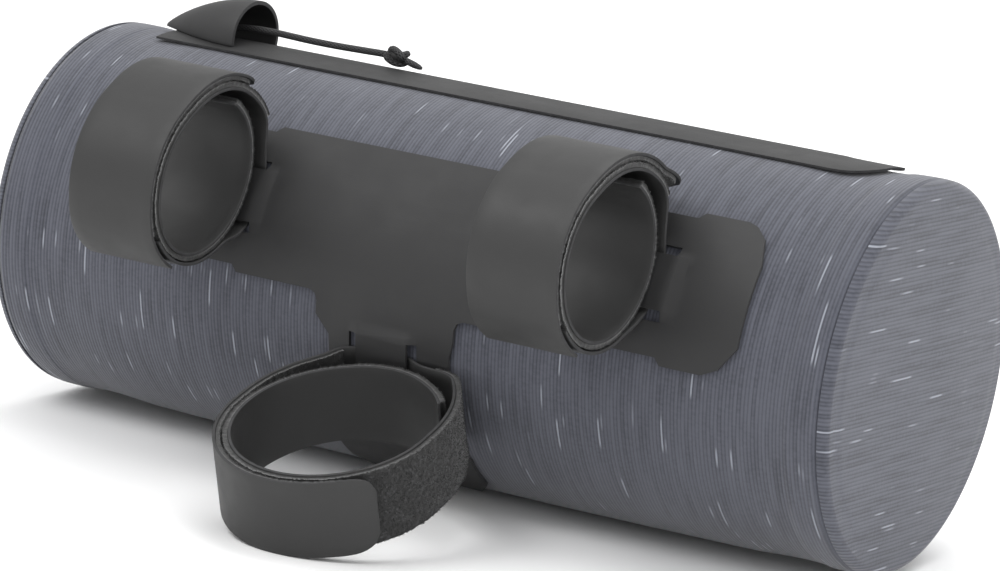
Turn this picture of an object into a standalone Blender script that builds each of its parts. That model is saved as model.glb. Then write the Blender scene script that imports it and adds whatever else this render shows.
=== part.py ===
"""Bicycle handlebar bag: a round fabric barrel with a zip along its top, and a rubber-coated panel
with three hook-and-loop straps that hold it to a handlebar and a head tube.

Metres, +Z up. The barrel's axis is X. The side that faces the bicycle is -Y.
Places on the barrel are given as x and an angle in degrees: 0 is the middle of the -Y side,
90 the top. The bag is built level, then the whole of it is rolled until it rests on the
ground on its barrel and on its head-tube strap, which is how it lies by itself.
"""

import math

import bmesh
import bpy
from mathutils import Vector

MM = 0.001
GAP = 0.3 * MM  # between pieces that touch

# Barrel
BARREL_RADIUS = 60 * MM
BARREL_LENGTH = 294 * MM  # from seam to seam
WALL = 2.0 * MM  # fabric, foam and lining
SAG = 1.8 * MM  # how far the middle of the barrel hangs below its ends
SAG_ANGLE = -70.0
END_DOME = 4.0 * MM
END_ROUNDING = 3.0 * MM
BARREL_SIDES = 72
BARREL_BAYS = 4

# Zip along the top
ZIP_ANGLE = 105.5
ZIP_WIDTH = 33 * MM
ZIP_FROM_X = -126 * MM
ZIP_TO_X = 132 * MM
ZIP_THICKNESS = 0.9 * MM
ZIP_CORNER = 13 * MM
ZIP_MOUTH_WIDTH = 9 * MM  # the slot in the barrel that the zip closes
ZIP_END_MARGIN = 16 * MM

# Hood over the zip's slider
HOOD_TIP_X = -134 * MM
HOOD_MOUTH_X = -99 * MM
HOOD_WIDTH = 26 * MM
HOOD_HEIGHT = 13.5 * MM
HOOD_WALL = 1.3 * MM
SLIDER_SIZE = (12 * MM, 8 * MM, 3.4 * MM)

# Pull cord, with its route as (x, height over the barrel, angle off the zip's middle)
CORD_DIAMETER = 2.2 * MM
CORD_ROUTE = (
    (-110.0, 4.6, 0.0),
    (-107.0, 4.9, 0.0),
    (-103.0, 5.3, 0.1),
    (-98.0, 5.6, 0.2),
    (-92.0, 5.6, 0.3),
    (-86.0, 5.4, 0.4),
    (-80.0, 5.2, 0.5),
    (-74.0, 5.1, 0.6),
    (-68.0, 5.1, 0.7),
    (-62.0, 5.2, 0.8),
    (-57.0, 5.3, 0.9),
    (-53.0, 5.4, 1.0),
    (-50.6, 5.4, 1.0),
)
KNOT_RADIUS = 3.5 * MM
KNOT_LENGTH = 8.5 * MM
TAIL_LENGTH = 6.0 * MM

# Mounting panel: a T of rubber-coated laminate, flat sizes measured along the barrel's surface
PANEL_THICKNESS = 1.2 * MM
WING_LENGTH = 119 * MM  # from the middle to each end
WING_TOP = 61 * MM
WING_BOTTOM = 13.2 * MM
WING_END_LENGTH = 26 * MM
NOTCH_DEPTH = 2.2 * MM
NOTCH_RAMP = 1.8 * MM
WING_CHAMFER = (6.5 * MM, 9.5 * MM)
INNER_CORNER = 3.0 * MM
TONGUE_HALF_WIDTH = 24.6 * MM
TONGUE_BOTTOM = -60 * MM
TONGUE_NOTCH_TOP = 4.6 * MM
TONGUE_NOTCH_BOTTOM = -34 * MM
TONGUE_NOTCH_LEFT = 5.0 * MM
TONGUE_NOTCH_RIGHT = 1.2 * MM
PANEL_STEP = math.radians(5.0)

# Slits in the panel, each pair with a bridge between that the strap passes behind
SLIT_WIDTH = 3.2 * MM
BAR_SLIT_INNER_X = 52.5 * MM
BAR_SLIT_LENGTH = 40 * MM
BAR_SLIT_UPPER = 46.6 * MM
BAR_SLIT_LOWER = 27.0 * MM
HEAD_SLIT_X = 10.6 * MM
HEAD_SLIT_TOP = 3.2 * MM
HEAD_SLIT_LENGTH = 36 * MM
BRIDGE_EDGE = 4 * MM  # over this distance the panel rises beside a bridge

# Straps
STRAP_THICKNESS = 1.0 * MM
LOOP_PILE = 1.5 * MM
HOOK_PILE = 1.2 * MM
BAR_STRAP_WIDTH = 30 * MM
HEAD_STRAP_WIDTH = 25 * MM
STRAP_STEP = 3.4 * MM
TURN_STEP = 7.5  # degrees round a ring
PILE_MARGIN = 0.4 * MM  # bare edge of a strap beside its pile
TIP_LENGTH = 9 * MM
TIP_NARROWING = 5.5 * MM

# A ring of strap, in its own plane: p is away from the bag, q is up or, on the head-tube strap,
# to +X. Angles go from +q over +p. Each row: middle, size of the hollow, where its long
# half-axis points, and the angles at which the pieces end.
BAR_RINGS = {
    "left": {
        "x": -69.0 * MM,
        "p": 76.0 * MM,
        "q": 49.2 * MM,
        "half_long": 24.6 * MM,
        "half_short": 21.4 * MM,
        "long_at": -60.0,
        "free_end": -40.0,
        "band_tip": -57.0,
    },
    "right": {
        "x": 72.5 * MM,
        "p": 76.0 * MM,
        "q": 49.6 * MM,
        "half_long": 25.2 * MM,
        "half_short": 23.0 * MM,
        "long_at": -90.0,
        "free_end": -42.0,
        "band_tip": -79.0,
    },
}
BAR_ROOT_P = 42.9 * MM  # how far in front of the axis the upper root stands
LIFT = 7.6 * MM  # how far the second turn stands off the first at LIFT_END
LIFT_END = -60.0
LIFT_BEYOND = 0.42 * MM  # more of it for each degree past LIFT_END
BAR_LIFT_START = 20.0
BAND_START = 141.0
BAND_BASE_END = 118.0
LOOP_PILE_ROOT_Z = 58.0 * MM

HEAD_RING = {
    "p": 42.0 * MM,
    "q": 9.0 * MM,
    "half_long": 32.3 * MM,
    "half_short": 30.0 * MM,
    "long_at": 90.0,
    "free_end": -42.0,
    "band_tip": 38.0,
}
HEAD_TILT = math.radians(8.0)
HEAD_STRAP_TOP = -1.2 * MM
HEAD_LIFT_START = -4.0
HEAD_BAND_START = 232.0
HEAD_BAND_LIFT = 5.2 * MM
HEAD_BLEND = 14 * MM  # over this distance the strap leaves the barrel's curve and becomes flat

# Surface colours, roughness
FABRIC = ("ribbed_fabric", (0.105, 0.112, 0.145), 0.85)
LAMINATE = ("rubber_coated_laminate", (0.042, 0.042, 0.043), 0.62)
STRAP = ("smooth_strap", (0.05, 0.05, 0.05), 0.6)
LOOPS = ("loop_pile", (0.02, 0.02, 0.021), 0.95)
HOOKS = ("hook_pile", (0.012, 0.012, 0.012), 0.8)
CORD = ("braided_cord", (0.018, 0.018, 0.018), 0.75)
METAL = ("slider_metal", (0.03, 0.03, 0.03), 0.4)


def start_scene():
    for obj in list(bpy.data.objects):
        bpy.data.objects.remove(obj)
    collection = bpy.data.collections.new("handlebar_bag")
    bpy.context.scene.collection.children.link(collection)
    frame = bpy.data.objects.new("bag_frame", None)
    collection.objects.link(frame)
    return collection, frame


COLLECTION, FRAME = start_scene()


def material(look):
    name, colour, roughness = look
    found = bpy.data.materials.get(name)
    if found:
        return found
    made = bpy.data.materials.new(name)
    made.use_nodes = True
    shader = made.node_tree.nodes["Principled BSDF"]
    shader.inputs["Base Color"].default_value = (*colour, 1.0)
    shader.inputs["Roughness"].default_value = roughness
    shader.inputs["Metallic"].default_value = 0.9 if look is METAL else 0.0
    return made


def add_mesh(name, shape, look, smooth_below=35.0):
    """A named piece from a bmesh, under the bag's frame."""
    mesh = bpy.data.meshes.new(name)
    bmesh.ops.recalc_face_normals(shape, faces=shape.faces)
    shape.to_mesh(mesh)
    shape.free()
    mesh.materials.append(material(look))
    mesh.shade_smooth()
    mesh.set_sharp_from_angle(angle=math.radians(smooth_below))
    piece = bpy.data.objects.new(name, mesh)
    piece.parent = FRAME
    COLLECTION.objects.link(piece)
    return piece


def solidify(piece, thickness, offset, even=True):
    modifier = piece.modifiers.new("thickness", "SOLIDIFY")
    modifier.thickness = thickness
    modifier.offset = offset
    modifier.use_even_offset = even


# The barrel's surface


def barrel_radius(x, angle):
    along = max(0.0, 1.0 - (2.0 * x / BARREL_LENGTH) ** 2)
    around = (0.5 + 0.5 * math.cos(math.radians(angle - SAG_ANGLE))) ** 2
    return BARREL_RADIUS + SAG * along * around


def on_barrel(x, angle, height=0.0):
    radius = barrel_radius(x, angle) + height
    turn = math.radians(angle)
    return Vector((x, -radius * math.cos(turn), radius * math.sin(turn)))


def arc_to_angle(arc):
    return math.degrees(arc / BARREL_RADIUS)


def span(start, end, step):
    """Evenly spaced values from start to end, no further apart than step."""
    count = max(1, math.ceil(abs(end - start) / step - 1e-9))
    return [start + (end - start) * i / count for i in range(count + 1)]


def grid(rows, columns, place, skip=None, closed=False):
    """An open surface of quads: place(row, column) gives each point."""
    shape = bmesh.new()
    points = [[shape.verts.new(place(row, column)) for column in columns] for row in rows]
    last = len(columns) if closed else len(columns) - 1
    for i in range(len(rows) - 1):
        for j in range(last):
            after = (j + 1) % len(columns)
            if skip and skip(rows[i], rows[i + 1], columns[j]):
                continue
            shape.faces.new((points[i][j], points[i + 1][j], points[i + 1][after], points[i][after]))
    loose = [point for point in shape.verts if not point.link_faces]
    bmesh.ops.delete(shape, geom=loose, context="VERTS")
    return shape


def build_barrel():
    half_mouth = arc_to_angle(ZIP_MOUTH_WIDTH / 2)
    mouth_from, mouth_to = ZIP_ANGLE - half_mouth, ZIP_ANGLE + half_mouth
    step = 360.0 / BARREL_SIDES
    turns = [step * i for i in range(BARREL_SIDES * 2)]
    around = [mouth_from, mouth_to]
    around += [turn for turn in turns if mouth_to + 1.5 < turn < mouth_from + 358.5]
    from_x = ZIP_FROM_X + ZIP_END_MARGIN
    to_x = ZIP_TO_X - ZIP_END_MARGIN
    bay = BARREL_LENGTH / BARREL_BAYS
    half = BARREL_LENGTH / 2
    along = span(-half, from_x, bay) + span(from_x, to_x, bay)[1:] + span(to_x, half, bay)[1:]

    def in_mouth(x, next_x, angle):
        return angle == mouth_from and from_x - GAP < x and next_x < to_x + GAP

    shape = grid(along, around, on_barrel, in_mouth, closed=True)
    tube = add_mesh("body_tube", shape, FABRIC)
    for face in tube.data.polygons:
        middle = face.center
        outwards = Vector((0, middle.y, middle.z))
        if face.normal.dot(outwards) < 0:
            tube.data.flip_normals()
            break
    solidify(tube, WALL, -1)


def build_end(name, side):
    """A disc with a rounded rim, turned round the barrel's axis."""
    seam = BARREL_LENGTH / 2 + GAP
    outer = [(seam, BARREL_RADIUS)]
    for degrees in (30, 60, 90):
        turn = math.radians(degrees)
        outer.append(
            (
                seam + END_ROUNDING * math.sin(turn),
                BARREL_RADIUS - END_ROUNDING * (1 - math.cos(turn)),
            )
        )
    outer += [(seam + END_ROUNDING + (END_DOME - END_ROUNDING) * 0.75, BARREL_RADIUS * 0.5)]
    outer += [(seam + END_DOME, 0.0)]
    inner = [(seam + END_DOME - WALL, 0.0)]
    inner += [(seam + END_ROUNDING - WALL, BARREL_RADIUS - END_ROUNDING - WALL * 0.4)]
    inner += [(seam, BARREL_RADIUS - WALL)]
    shape = bmesh.new()
    profile = [shape.verts.new((side * x, 0, radius)) for x, radius in outer + inner]
    profile.append(profile[0])
    for first, second in zip(profile, profile[1:]):
        if first.co.z > 0 or second.co.z > 0:
            shape.edges.new((first, second))
    bmesh.ops.spin(
        shape,
        geom=shape.verts[:] + shape.edges[:],
        axis=(1, 0, 0),
        cent=(0, 0, 0),
        angle=2 * math.pi,
        steps=BARREL_SIDES,
        use_merge=False,
    )
    bmesh.ops.remove_doubles(shape, verts=shape.verts, dist=1e-6)
    flat = [edge for edge in shape.edges if edge.calc_length() < 1e-7]
    bmesh.ops.dissolve_degenerate(shape, dist=1e-7, edges=flat or shape.edges[:])
    add_mesh(name, shape, FABRIC)


# Thin pieces cut flat and wrapped on the barrel


def cut_lines(shape, axis, step, more):
    """Cuts across a flat shape at every multiple of step, and at more places, so that it can
    bend there."""
    reached = [point.co[axis] for point in shape.verts]
    count = math.ceil(max(map(abs, reached)) / step)
    places = [cut * step for cut in range(-count, count + 1)]
    places = [place for place in places if all(abs(place - other) > 0.6 * MM for other in more)]
    normal = Vector((1 - axis, axis, 0))
    for place in sorted(places + list(more)):
        bmesh.ops.bisect_plane(
            shape,
            geom=shape.verts[:] + shape.edges[:] + shape.faces[:],
            plane_co=normal * place,
            plane_no=normal,
            dist=1e-7,
        )


def wrapped_sheet(name, outlines, height, thickness, look, angle_at_zero=0.0, bends=((), ())):
    """A flat shape in x and arc, with holes, laid on the barrel. height(x, arc) lifts it."""
    curve = bpy.data.curves.new(name, "CURVE")
    curve.dimensions = "2D"
    curve.fill_mode = "BOTH"
    for outline in outlines:
        spline = curve.splines.new("POLY")
        spline.points.add(len(outline) - 1)
        for point, (x, arc) in zip(spline.points, outline):
            point.co = (x, arc, 0, 1)
        spline.use_cyclic_u = True
    flat = bpy.data.objects.new(name + "_flat", curve)
    COLLECTION.objects.link(flat)
    bpy.context.view_layer.update()
    graph = bpy.context.evaluated_depsgraph_get()
    mesh = bpy.data.meshes.new_from_object(flat.evaluated_get(graph))
    bpy.data.objects.remove(flat)
    shape = bmesh.new()
    shape.from_mesh(mesh)
    bmesh.ops.remove_doubles(shape, verts=shape.verts, dist=1e-6)
    cut_lines(shape, 1, PANEL_STEP * BARREL_RADIUS, bends[1])
    cut_lines(shape, 0, BARREL_LENGTH / 2, bends[0])
    bmesh.ops.dissolve_degenerate(shape, dist=0.05 * MM, edges=shape.edges[:])
    for point in shape.verts:
        x, arc = point.co.x, point.co.y
        angle = angle_at_zero + arc_to_angle(arc)
        point.co = on_barrel(x, angle, GAP + height(x, arc))
    bmesh.ops.recalc_face_normals(shape, faces=shape.faces)
    facing = 0.0
    for face in shape.faces:
        middle = face.calc_center_median()
        facing += face.normal.dot(Vector((0, middle.y, middle.z))) * face.calc_area()
    if facing < 0:
        bmesh.ops.reverse_faces(shape, faces=shape.faces)
    finished = bpy.data.meshes.new(name)
    shape.to_mesh(finished)
    shape.free()
    finished.materials.append(material(look))
    finished.shade_smooth()
    finished.set_sharp_from_angle(angle=math.radians(35.0))
    piece = bpy.data.objects.new(name, finished)
    piece.parent = FRAME
    COLLECTION.objects.link(piece)
    solidify(piece, thickness, 1, even=False)
    return piece


def rectangle(x_from, x_to, arc_from, arc_to):
    return [(x_from, arc_from), (x_to, arc_from), (x_to, arc_to), (x_from, arc_to)]


def right_wing():
    """Half of the wings' outline, from the tongue's corner round to the top, for x > 0."""
    chamfer_x, chamfer_arc = WING_CHAMFER
    notch_from = WING_LENGTH - WING_END_LENGTH - BAR_SLIT_LENGTH + NOTCH_RAMP
    notch_to = WING_LENGTH - WING_END_LENGTH
    low, high = WING_BOTTOM, WING_TOP
    return [
        (TONGUE_HALF_WIDTH + INNER_CORNER, low),
        (notch_from, low),
        (notch_from + NOTCH_RAMP, low + NOTCH_DEPTH),
        (notch_to, low + NOTCH_DEPTH),
        (notch_to + NOTCH_RAMP, low),
        (WING_LENGTH - 1.6 * chamfer_x, low),
        (WING_LENGTH - 0.8 * chamfer_x, low + 0.25 * chamfer_arc),
        (WING_LENGTH, low + chamfer_arc),
        (WING_LENGTH, high - 1.4 * chamfer_arc),
        (WING_LENGTH - 0.4 * chamfer_x, high - 0.5 * chamfer_arc),
        (WING_LENGTH - chamfer_x, high - 0.12 * chamfer_arc),
        (WING_LENGTH - 1.5 * chamfer_x, high),
        (notch_to + NOTCH_RAMP, high),
        (notch_to, high - NOTCH_DEPTH),
        (notch_from + NOTCH_RAMP, high - NOTCH_DEPTH),
        (notch_from, high),
    ]


def tongue_side(half_width, notch):
    """The tongue's edge from its foot up to the wing, for x > 0."""
    chamfer_x, chamfer_arc = WING_CHAMFER
    return [
        (half_width - chamfer_x, TONGUE_BOTTOM),
        (half_width, TONGUE_BOTTOM + chamfer_arc),
        (half_width + 0.5 * MM, TONGUE_NOTCH_BOTTOM - NOTCH_RAMP),
        (half_width - notch, TONGUE_NOTCH_BOTTOM),
        (half_width - notch, TONGUE_NOTCH_TOP - 2 * NOTCH_RAMP),
        (half_width, TONGUE_NOTCH_TOP + NOTCH_RAMP),
        (half_width, WING_BOTTOM - INNER_CORNER),
        (half_width + 0.3 * INNER_CORNER, WING_BOTTOM - 0.3 * INNER_CORNER),
    ]


def panel_outline():
    right = tongue_side(TONGUE_HALF_WIDTH, TONGUE_NOTCH_RIGHT) + right_wing()
    left = tongue_side(TONGUE_HALF_WIDTH, TONGUE_NOTCH_LEFT) + right_wing()
    return right + [(-x, arc) for x, arc in reversed(left)]


def bar_slits(side):
    inner, outer = BAR_SLIT_INNER_X, BAR_SLIT_INNER_X + BAR_SLIT_LENGTH
    low, high = min(side * inner, side * outer), max(side * inner, side * outer)
    half = SLIT_WIDTH / 2
    return [rectangle(low, high, arc - half, arc + half) for arc in (BAR_SLIT_UPPER, BAR_SLIT_LOWER)]


def head_slits():
    half = SLIT_WIDTH / 2
    top, bottom = HEAD_SLIT_TOP, HEAD_SLIT_TOP - HEAD_SLIT_LENGTH
    return [rectangle(x - half, x + half, bottom, top) for x in (-HEAD_SLIT_X, HEAD_SLIT_X)]


def ramp(value, start, end):
    share = min(1.0, max(0.0, (value - start) / (end - start)))
    return share * share * (3 - 2 * share)


def bridge_height(x, arc):
    """How far the panel stands up where a strap passes behind it."""
    edge = BRIDGE_EDGE
    half = SLIT_WIDTH / 2
    bar_low, bar_high = BAR_SLIT_LOWER + half, BAR_SLIT_UPPER - half
    bar_from, bar_to = BAR_SLIT_INNER_X, BAR_SLIT_INNER_X + BAR_SLIT_LENGTH
    on_bar = (
        ramp(abs(x), bar_from - edge, bar_from)
        * ramp(abs(x), bar_to + edge, bar_to)
        * ramp(arc, bar_low - half, bar_low)
        * ramp(arc, bar_high + half, bar_high)
    )
    head_to = HEAD_SLIT_X - half
    on_head = (
        ramp(abs(x), head_to + half, head_to)
        * ramp(arc, HEAD_SLIT_TOP + edge, HEAD_SLIT_TOP)
        * ramp(arc, HEAD_SLIT_TOP - HEAD_SLIT_LENGTH - edge, HEAD_SLIT_TOP - HEAD_SLIT_LENGTH)
    )
    return max(on_bar, on_head) * (STRAP_THICKNESS + GAP)


def build_panel():
    outlines = [panel_outline()] + bar_slits(1) + bar_slits(-1) + head_slits()
    half = SLIT_WIDTH / 2
    bar_from, bar_to = BAR_SLIT_INNER_X, BAR_SLIT_INNER_X + BAR_SLIT_LENGTH
    along = [bar_from - BRIDGE_EDGE, bar_from, bar_to, bar_to + BRIDGE_EDGE]
    along += [-x for x in along]
    along += [-HEAD_SLIT_X + half, HEAD_SLIT_X - half]
    head_low = HEAD_SLIT_TOP - HEAD_SLIT_LENGTH
    around = [BAR_SLIT_LOWER + half, BAR_SLIT_UPPER - half]
    around += [HEAD_SLIT_TOP + BRIDGE_EDGE, HEAD_SLIT_TOP, head_low, head_low - BRIDGE_EDGE]
    wrapped_sheet(
        "mount_panel", outlines, bridge_height, PANEL_THICKNESS, LAMINATE, bends=(along, around)
    )


def build_zip():
    half = ZIP_WIDTH / 2
    outline = [(ZIP_FROM_X, -half), (ZIP_TO_X - ZIP_CORNER, -half)]
    for degrees in (30, 60, 90):
        turn = math.radians(degrees)
        outline.append(
            (
                ZIP_TO_X - ZIP_CORNER * (1 - math.sin(turn)),
                -half + ZIP_CORNER * (1 - math.cos(turn)),
            )
        )
    outline += [(x, -arc) for x, arc in reversed(outline)]
    wrapped_sheet(
        "zip_tape", [outline], lambda x, arc: 0.0, ZIP_THICKNESS, LAMINATE, angle_at_zero=ZIP_ANGLE
    )


def build_hood():
    """Half a cone, open at its mouth, standing on the zip and the fabric beside it."""
    base = GAP + ZIP_THICKNESS + GAP
    turns = span(0.0, math.pi, math.radians(15.0))
    shares = (0.10, 0.2, 0.35, 0.55, 0.78, 1.0)

    def place(share, turn):
        x = HOOD_TIP_X + (HOOD_MOUTH_X - HOOD_TIP_X) * share
        rise = math.sin(share * math.pi / 2) ** 0.8
        across = -HOOD_WIDTH / 2 * rise * math.cos(turn)
        height = HOOD_HEIGHT * rise * math.sin(turn)
        return on_barrel(x, ZIP_ANGLE + arc_to_angle(across), base + height)

    shape = grid(shares, turns, place)
    rim = [edge for edge in shape.edges if edge.is_boundary]
    near_tip = HOOD_TIP_X + (HOOD_MOUTH_X - HOOD_TIP_X) * (shares[0] + 0.02)
    closing = [e for e in rim if max(point.co.x for point in e.verts) < near_tip]
    bmesh.ops.contextual_create(shape, geom=closing)
    hood = add_mesh("zip_garage", shape, LAMINATE)
    solidify(hood, HOOD_WALL, -1)
    return hood


def build_slider():
    length, width, height = SLIDER_SIZE
    shape = bmesh.new()
    bmesh.ops.create_cube(shape, size=1.0)
    bmesh.ops.scale(shape, vec=(length, width, height), verts=shape.verts)
    bmesh.ops.bevel(
        shape, geom=shape.edges[:], offset=height * 0.25, segments=1, affect="EDGES"
    )
    slider = add_mesh("zip_slider", shape, METAL)
    x = CORD_ROUTE[0][0] * MM - length / 2 - 2 * GAP
    lift = GAP + ZIP_THICKNESS + GAP + height / 2
    slider.location = on_barrel(x, ZIP_ANGLE, lift)
    slider.rotation_euler.x = math.radians(90.0 - ZIP_ANGLE)


def cord_point(x, height, off_angle):
    return on_barrel(x * MM, ZIP_ANGLE + off_angle, height * MM)


def build_cord():
    curve = bpy.data.curves.new("pull_cord", "CURVE")
    curve.dimensions = "3D"
    curve.bevel_depth = CORD_DIAMETER / 2
    curve.bevel_resolution = 2
    curve.use_fill_caps = True
    spline = curve.splines.new("POLY")
    spline.points.add(len(CORD_ROUTE) - 1)
    for point, row in zip(spline.points, CORD_ROUTE):
        point.co = (*cord_point(*row), 1)
    curve.materials.append(material(CORD))
    cord = bpy.data.objects.new("pull_cord", curve)
    cord.parent = FRAME
    COLLECTION.objects.link(cord)


def build_knot():
    """The knot's outer shape with its short tail, one body."""
    shape = bmesh.new()
    bmesh.ops.create_uvsphere(shape, u_segments=12, v_segments=8, radius=1.0)
    for point in shape.verts:
        x, y, z = point.co
        lobed = 1.0 - 0.1 * math.cos(3.0 * math.atan2(z, y)) * (1 - abs(x))
        point.co = (x * KNOT_LENGTH / 2, y * KNOT_RADIUS * lobed, z * KNOT_RADIUS * lobed * 0.95)
    knot = add_mesh("cord_knot", shape, CORD, 60.0)
    tail = bmesh.new()
    bmesh.ops.create_cone(
        tail,
        cap_ends=True,
        segments=10,
        radius1=CORD_DIAMETER / 2,
        radius2=CORD_DIAMETER * 0.55,
        depth=TAIL_LENGTH + KNOT_LENGTH / 2,
    )
    stub = add_mesh("tail_cutter", tail, CORD)
    last = CORD_ROUTE[-1]
    middle = cord_point(last[0] + KNOT_LENGTH / 2 / MM + GAP / MM, last[1], last[2])
    knot.location = middle
    knot.rotation_euler.x = math.radians(90.0 - ZIP_ANGLE)
    away = Vector((1.0, -0.12, -0.2)).normalized()
    stub.location = middle + away * (TAIL_LENGTH + KNOT_LENGTH / 2) / 2
    stub.rotation_mode = "QUATERNION"
    stub.rotation_quaternion = away.to_track_quat("Z", "Y")
    stub.hide_render = True
    stub.display_type = "WIRE"
    join = knot.modifiers.new("tail", "BOOLEAN")
    join.operation = "UNION"
    join.object = stub


# Straps


def ring_radius(ring, angle):
    """The hollow's radius towards this angle."""
    turn = math.radians(angle - ring["long_at"])
    long, short = ring["half_long"], ring["half_short"]
    return long * short / math.hypot(short * math.cos(turn), long * math.sin(turn))


def ring_point(ring, angle, stand_off):
    radius = ring_radius(ring, angle) + stand_off
    turn = math.radians(angle)
    return Vector((ring["p"] + radius * math.sin(turn), ring["q"] + radius * math.cos(turn)))


def second_turn_lift(angle, start):
    share = min(1.0, max(0.0, (start - angle) / (start - LIFT_END)))
    return LIFT * share**1.5 + LIFT_BEYOND * max(0.0, LIFT_END - angle)


def eased(start, leaving, end, arriving, count):
    """Points on a smooth curve between two points, with the directions it leaves and arrives by."""
    reach = (end - start).length
    one, two = start + leaving.normalized() * reach * 0.36, end - arriving.normalized() * reach * 0.36
    points = []
    for i in range(1, count):
        t = i / count
        points.append(
            start * (1 - t) ** 3 + one * 3 * t * (1 - t) ** 2 + two * 3 * t * t * (1 - t) + end * t**3
        )
    return points


def even_path(points, step):
    """The same path with points at an even pitch."""
    lengths = [0.0]
    for first, second in zip(points, points[1:]):
        lengths.append(lengths[-1] + (second - first).length)
    result, index = [], 0
    for distance in span(0.0, lengths[-1], step):
        while index < len(points) - 2 and lengths[index + 1] < distance:
            index += 1
        share = (distance - lengths[index]) / (lengths[index + 1] - lengths[index])
        result.append(points[index].lerp(points[index + 1], min(1.0, share)))
    return result


def side_path(points, distance):
    """The path moved sideways, to the left of its direction for a positive distance."""
    moved = []
    for i, point in enumerate(points):
        before, after = points[max(0, i - 1)], points[min(len(points) - 1, i + 1)]
        along = (after - before).normalized()
        moved.append(point + Vector((-along.y, along.x)) * distance)
    return moved


def ribbon(name, path, place, width, thickness, look, start_tip=False, end_tip=False):
    """A strap along a flat path of (p, q) points; place(p, q, across) puts it on the bag."""
    bays = 3 if place is head_place else 1
    lengths = [0.0]
    for first, second in zip(path, path[1:]):
        lengths.append(lengths[-1] + (second - first).length)
    shape = bmesh.new()
    rows = []
    for point, length in zip(path, lengths):
        from_tip = min(
            length if start_tip else TIP_LENGTH, lengths[-1] - length if end_tip else TIP_LENGTH
        )
        narrower = TIP_NARROWING * (1 - math.sqrt(max(0.0, 1 - (1 - min(1.0, from_tip / TIP_LENGTH)) ** 2)))
        half = width / 2 - narrower
        sides = [2 * j / bays - 1 for j in range(bays + 1)]
        rows.append([shape.verts.new(place(point.x, point.y, half * side)) for side in sides])
    for first, second in zip(rows, rows[1:]):
        for j in range(bays):
            shape.faces.new((first[j], second[j], second[j + 1], first[j + 1]))
    piece = add_mesh(name, shape, look)
    solidify(piece, thickness, 0)
    return piece


def bar_place(ring):
    def place(p, q, across):
        return Vector((ring["x"] + across, -p, q))

    return place


def barrel_point(x, arc, height):
    """A point over the barrel in the plane of a bar strap's ring: p and q."""
    spot = on_barrel(x, arc_to_angle(arc), height)
    return Vector((-spot.y, spot.z))


def bar_strap_path(ring):
    """Middle of the strap's thickness, from its free end inside the ring round to the end that
    the outer band covers."""
    half = STRAP_THICKNESS / 2
    path = []
    for angle in span(ring["free_end"], LIFT_END - 360.0, TURN_STEP):
        lift = second_turn_lift(angle + 360.0, BAR_LIFT_START)
        path.append(ring_point(ring, angle, half + lift))
    behind = GAP + half
    above = behind + 2 * PANEL_THICKNESS
    inset, outset = 0.26 * SLIT_WIDTH, 0.48 * SLIT_WIDTH
    x = ring["x"]
    upper = barrel_point(x, BAR_SLIT_UPPER + outset, above)
    upper_turn = barrel_point(x, BAR_SLIT_UPPER - inset, behind)
    root_top = Vector((BAR_ROOT_P, ring["q"] + 6 * MM))
    path += eased(path[-1], path[-1] - path[-2], root_top, Vector((0.12, -1)), 6) + [root_top]
    path += eased(root_top, Vector((0.12, -1)), upper, upper_turn - upper, 4) + [upper]
    hidden = span(BAR_SLIT_UPPER - inset, BAR_SLIT_LOWER + inset, 2.6 * MM)
    path += [barrel_point(x, arc, behind) for arc in hidden]
    lower = barrel_point(x, BAR_SLIT_LOWER - outset, above)
    leaving = lower - path[-1]
    path.append(lower)
    under = base_stand_off()
    joined = ring_point(ring, 196.0, under)
    arriving = ring_point(ring, 190.0, under) - joined
    path += eased(lower, leaving, joined, arriving, 6)
    path += [ring_point(ring, angle, under) for angle in span(196.0, BAND_BASE_END, TURN_STEP)]
    return path


def base_stand_off():
    """Middle of the strap's end that lies between the ring and the outer band."""
    return STRAP_THICKNESS + GAP + LOOP_PILE + GAP + STRAP_THICKNESS / 2


def stretch(path, start, end):
    return [point for i, point in enumerate(path) if start <= i <= end]


def nearest(path, target):
    return min(range(len(path)), key=lambda i: (path[i] - target).length)


def build_bar_strap(side):
    ring = BAR_RINGS[side]
    place = bar_place(ring)
    name = "handlebar_strap_" + side
    path = bar_strap_path(ring)
    ribbon(name, path, place, BAR_STRAP_WIDTH, STRAP_THICKNESS, STRAP)

    pile_width = BAR_STRAP_WIDTH - 2 * PILE_MARGIN
    beside = STRAP_THICKNESS / 2 + GAP + LOOP_PILE / 2
    root = nearest(path, Vector((BAR_ROOT_P, LOOP_PILE_ROOT_Z)))
    outer = side_path(path, -beside)
    ribbon(name + "_loop_pile", stretch(outer, 1, root), place, pile_width, LOOP_PILE, LOOPS)

    band_start = BAND_START
    stack = STRAP_THICKNESS + GAP + LOOP_PILE + GAP + HOOK_PILE + GAP + STRAP_THICKNESS / 2
    band = []
    for angle in span(band_start, ring["band_tip"], 5.0):
        lift = second_turn_lift(angle, BAR_LIFT_START)
        over_base = ramp(angle, BAND_BASE_END - 26.0, BAND_BASE_END - 6.0) * (GAP + 0.3 * MM)
        band.append(ring_point(ring, angle, stack + lift + over_base))
    band = even_path(band, STRAP_STEP)
    ribbon(name + "_band", band, place, BAR_STRAP_WIDTH, STRAP_THICKNESS, STRAP, end_tip=True)

    hooks = side_path(band, STRAP_THICKNESS / 2 + GAP + HOOK_PILE / 2)
    first = nearest(hooks, ring_point(ring, BAND_BASE_END - 7.0, stack))
    ribbon(
        name + "_hook_pile",
        stretch(hooks, first, len(hooks) - 2),
        place,
        pile_width,
        HOOK_PILE,
        HOOKS,
        end_tip=True,
    )


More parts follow.
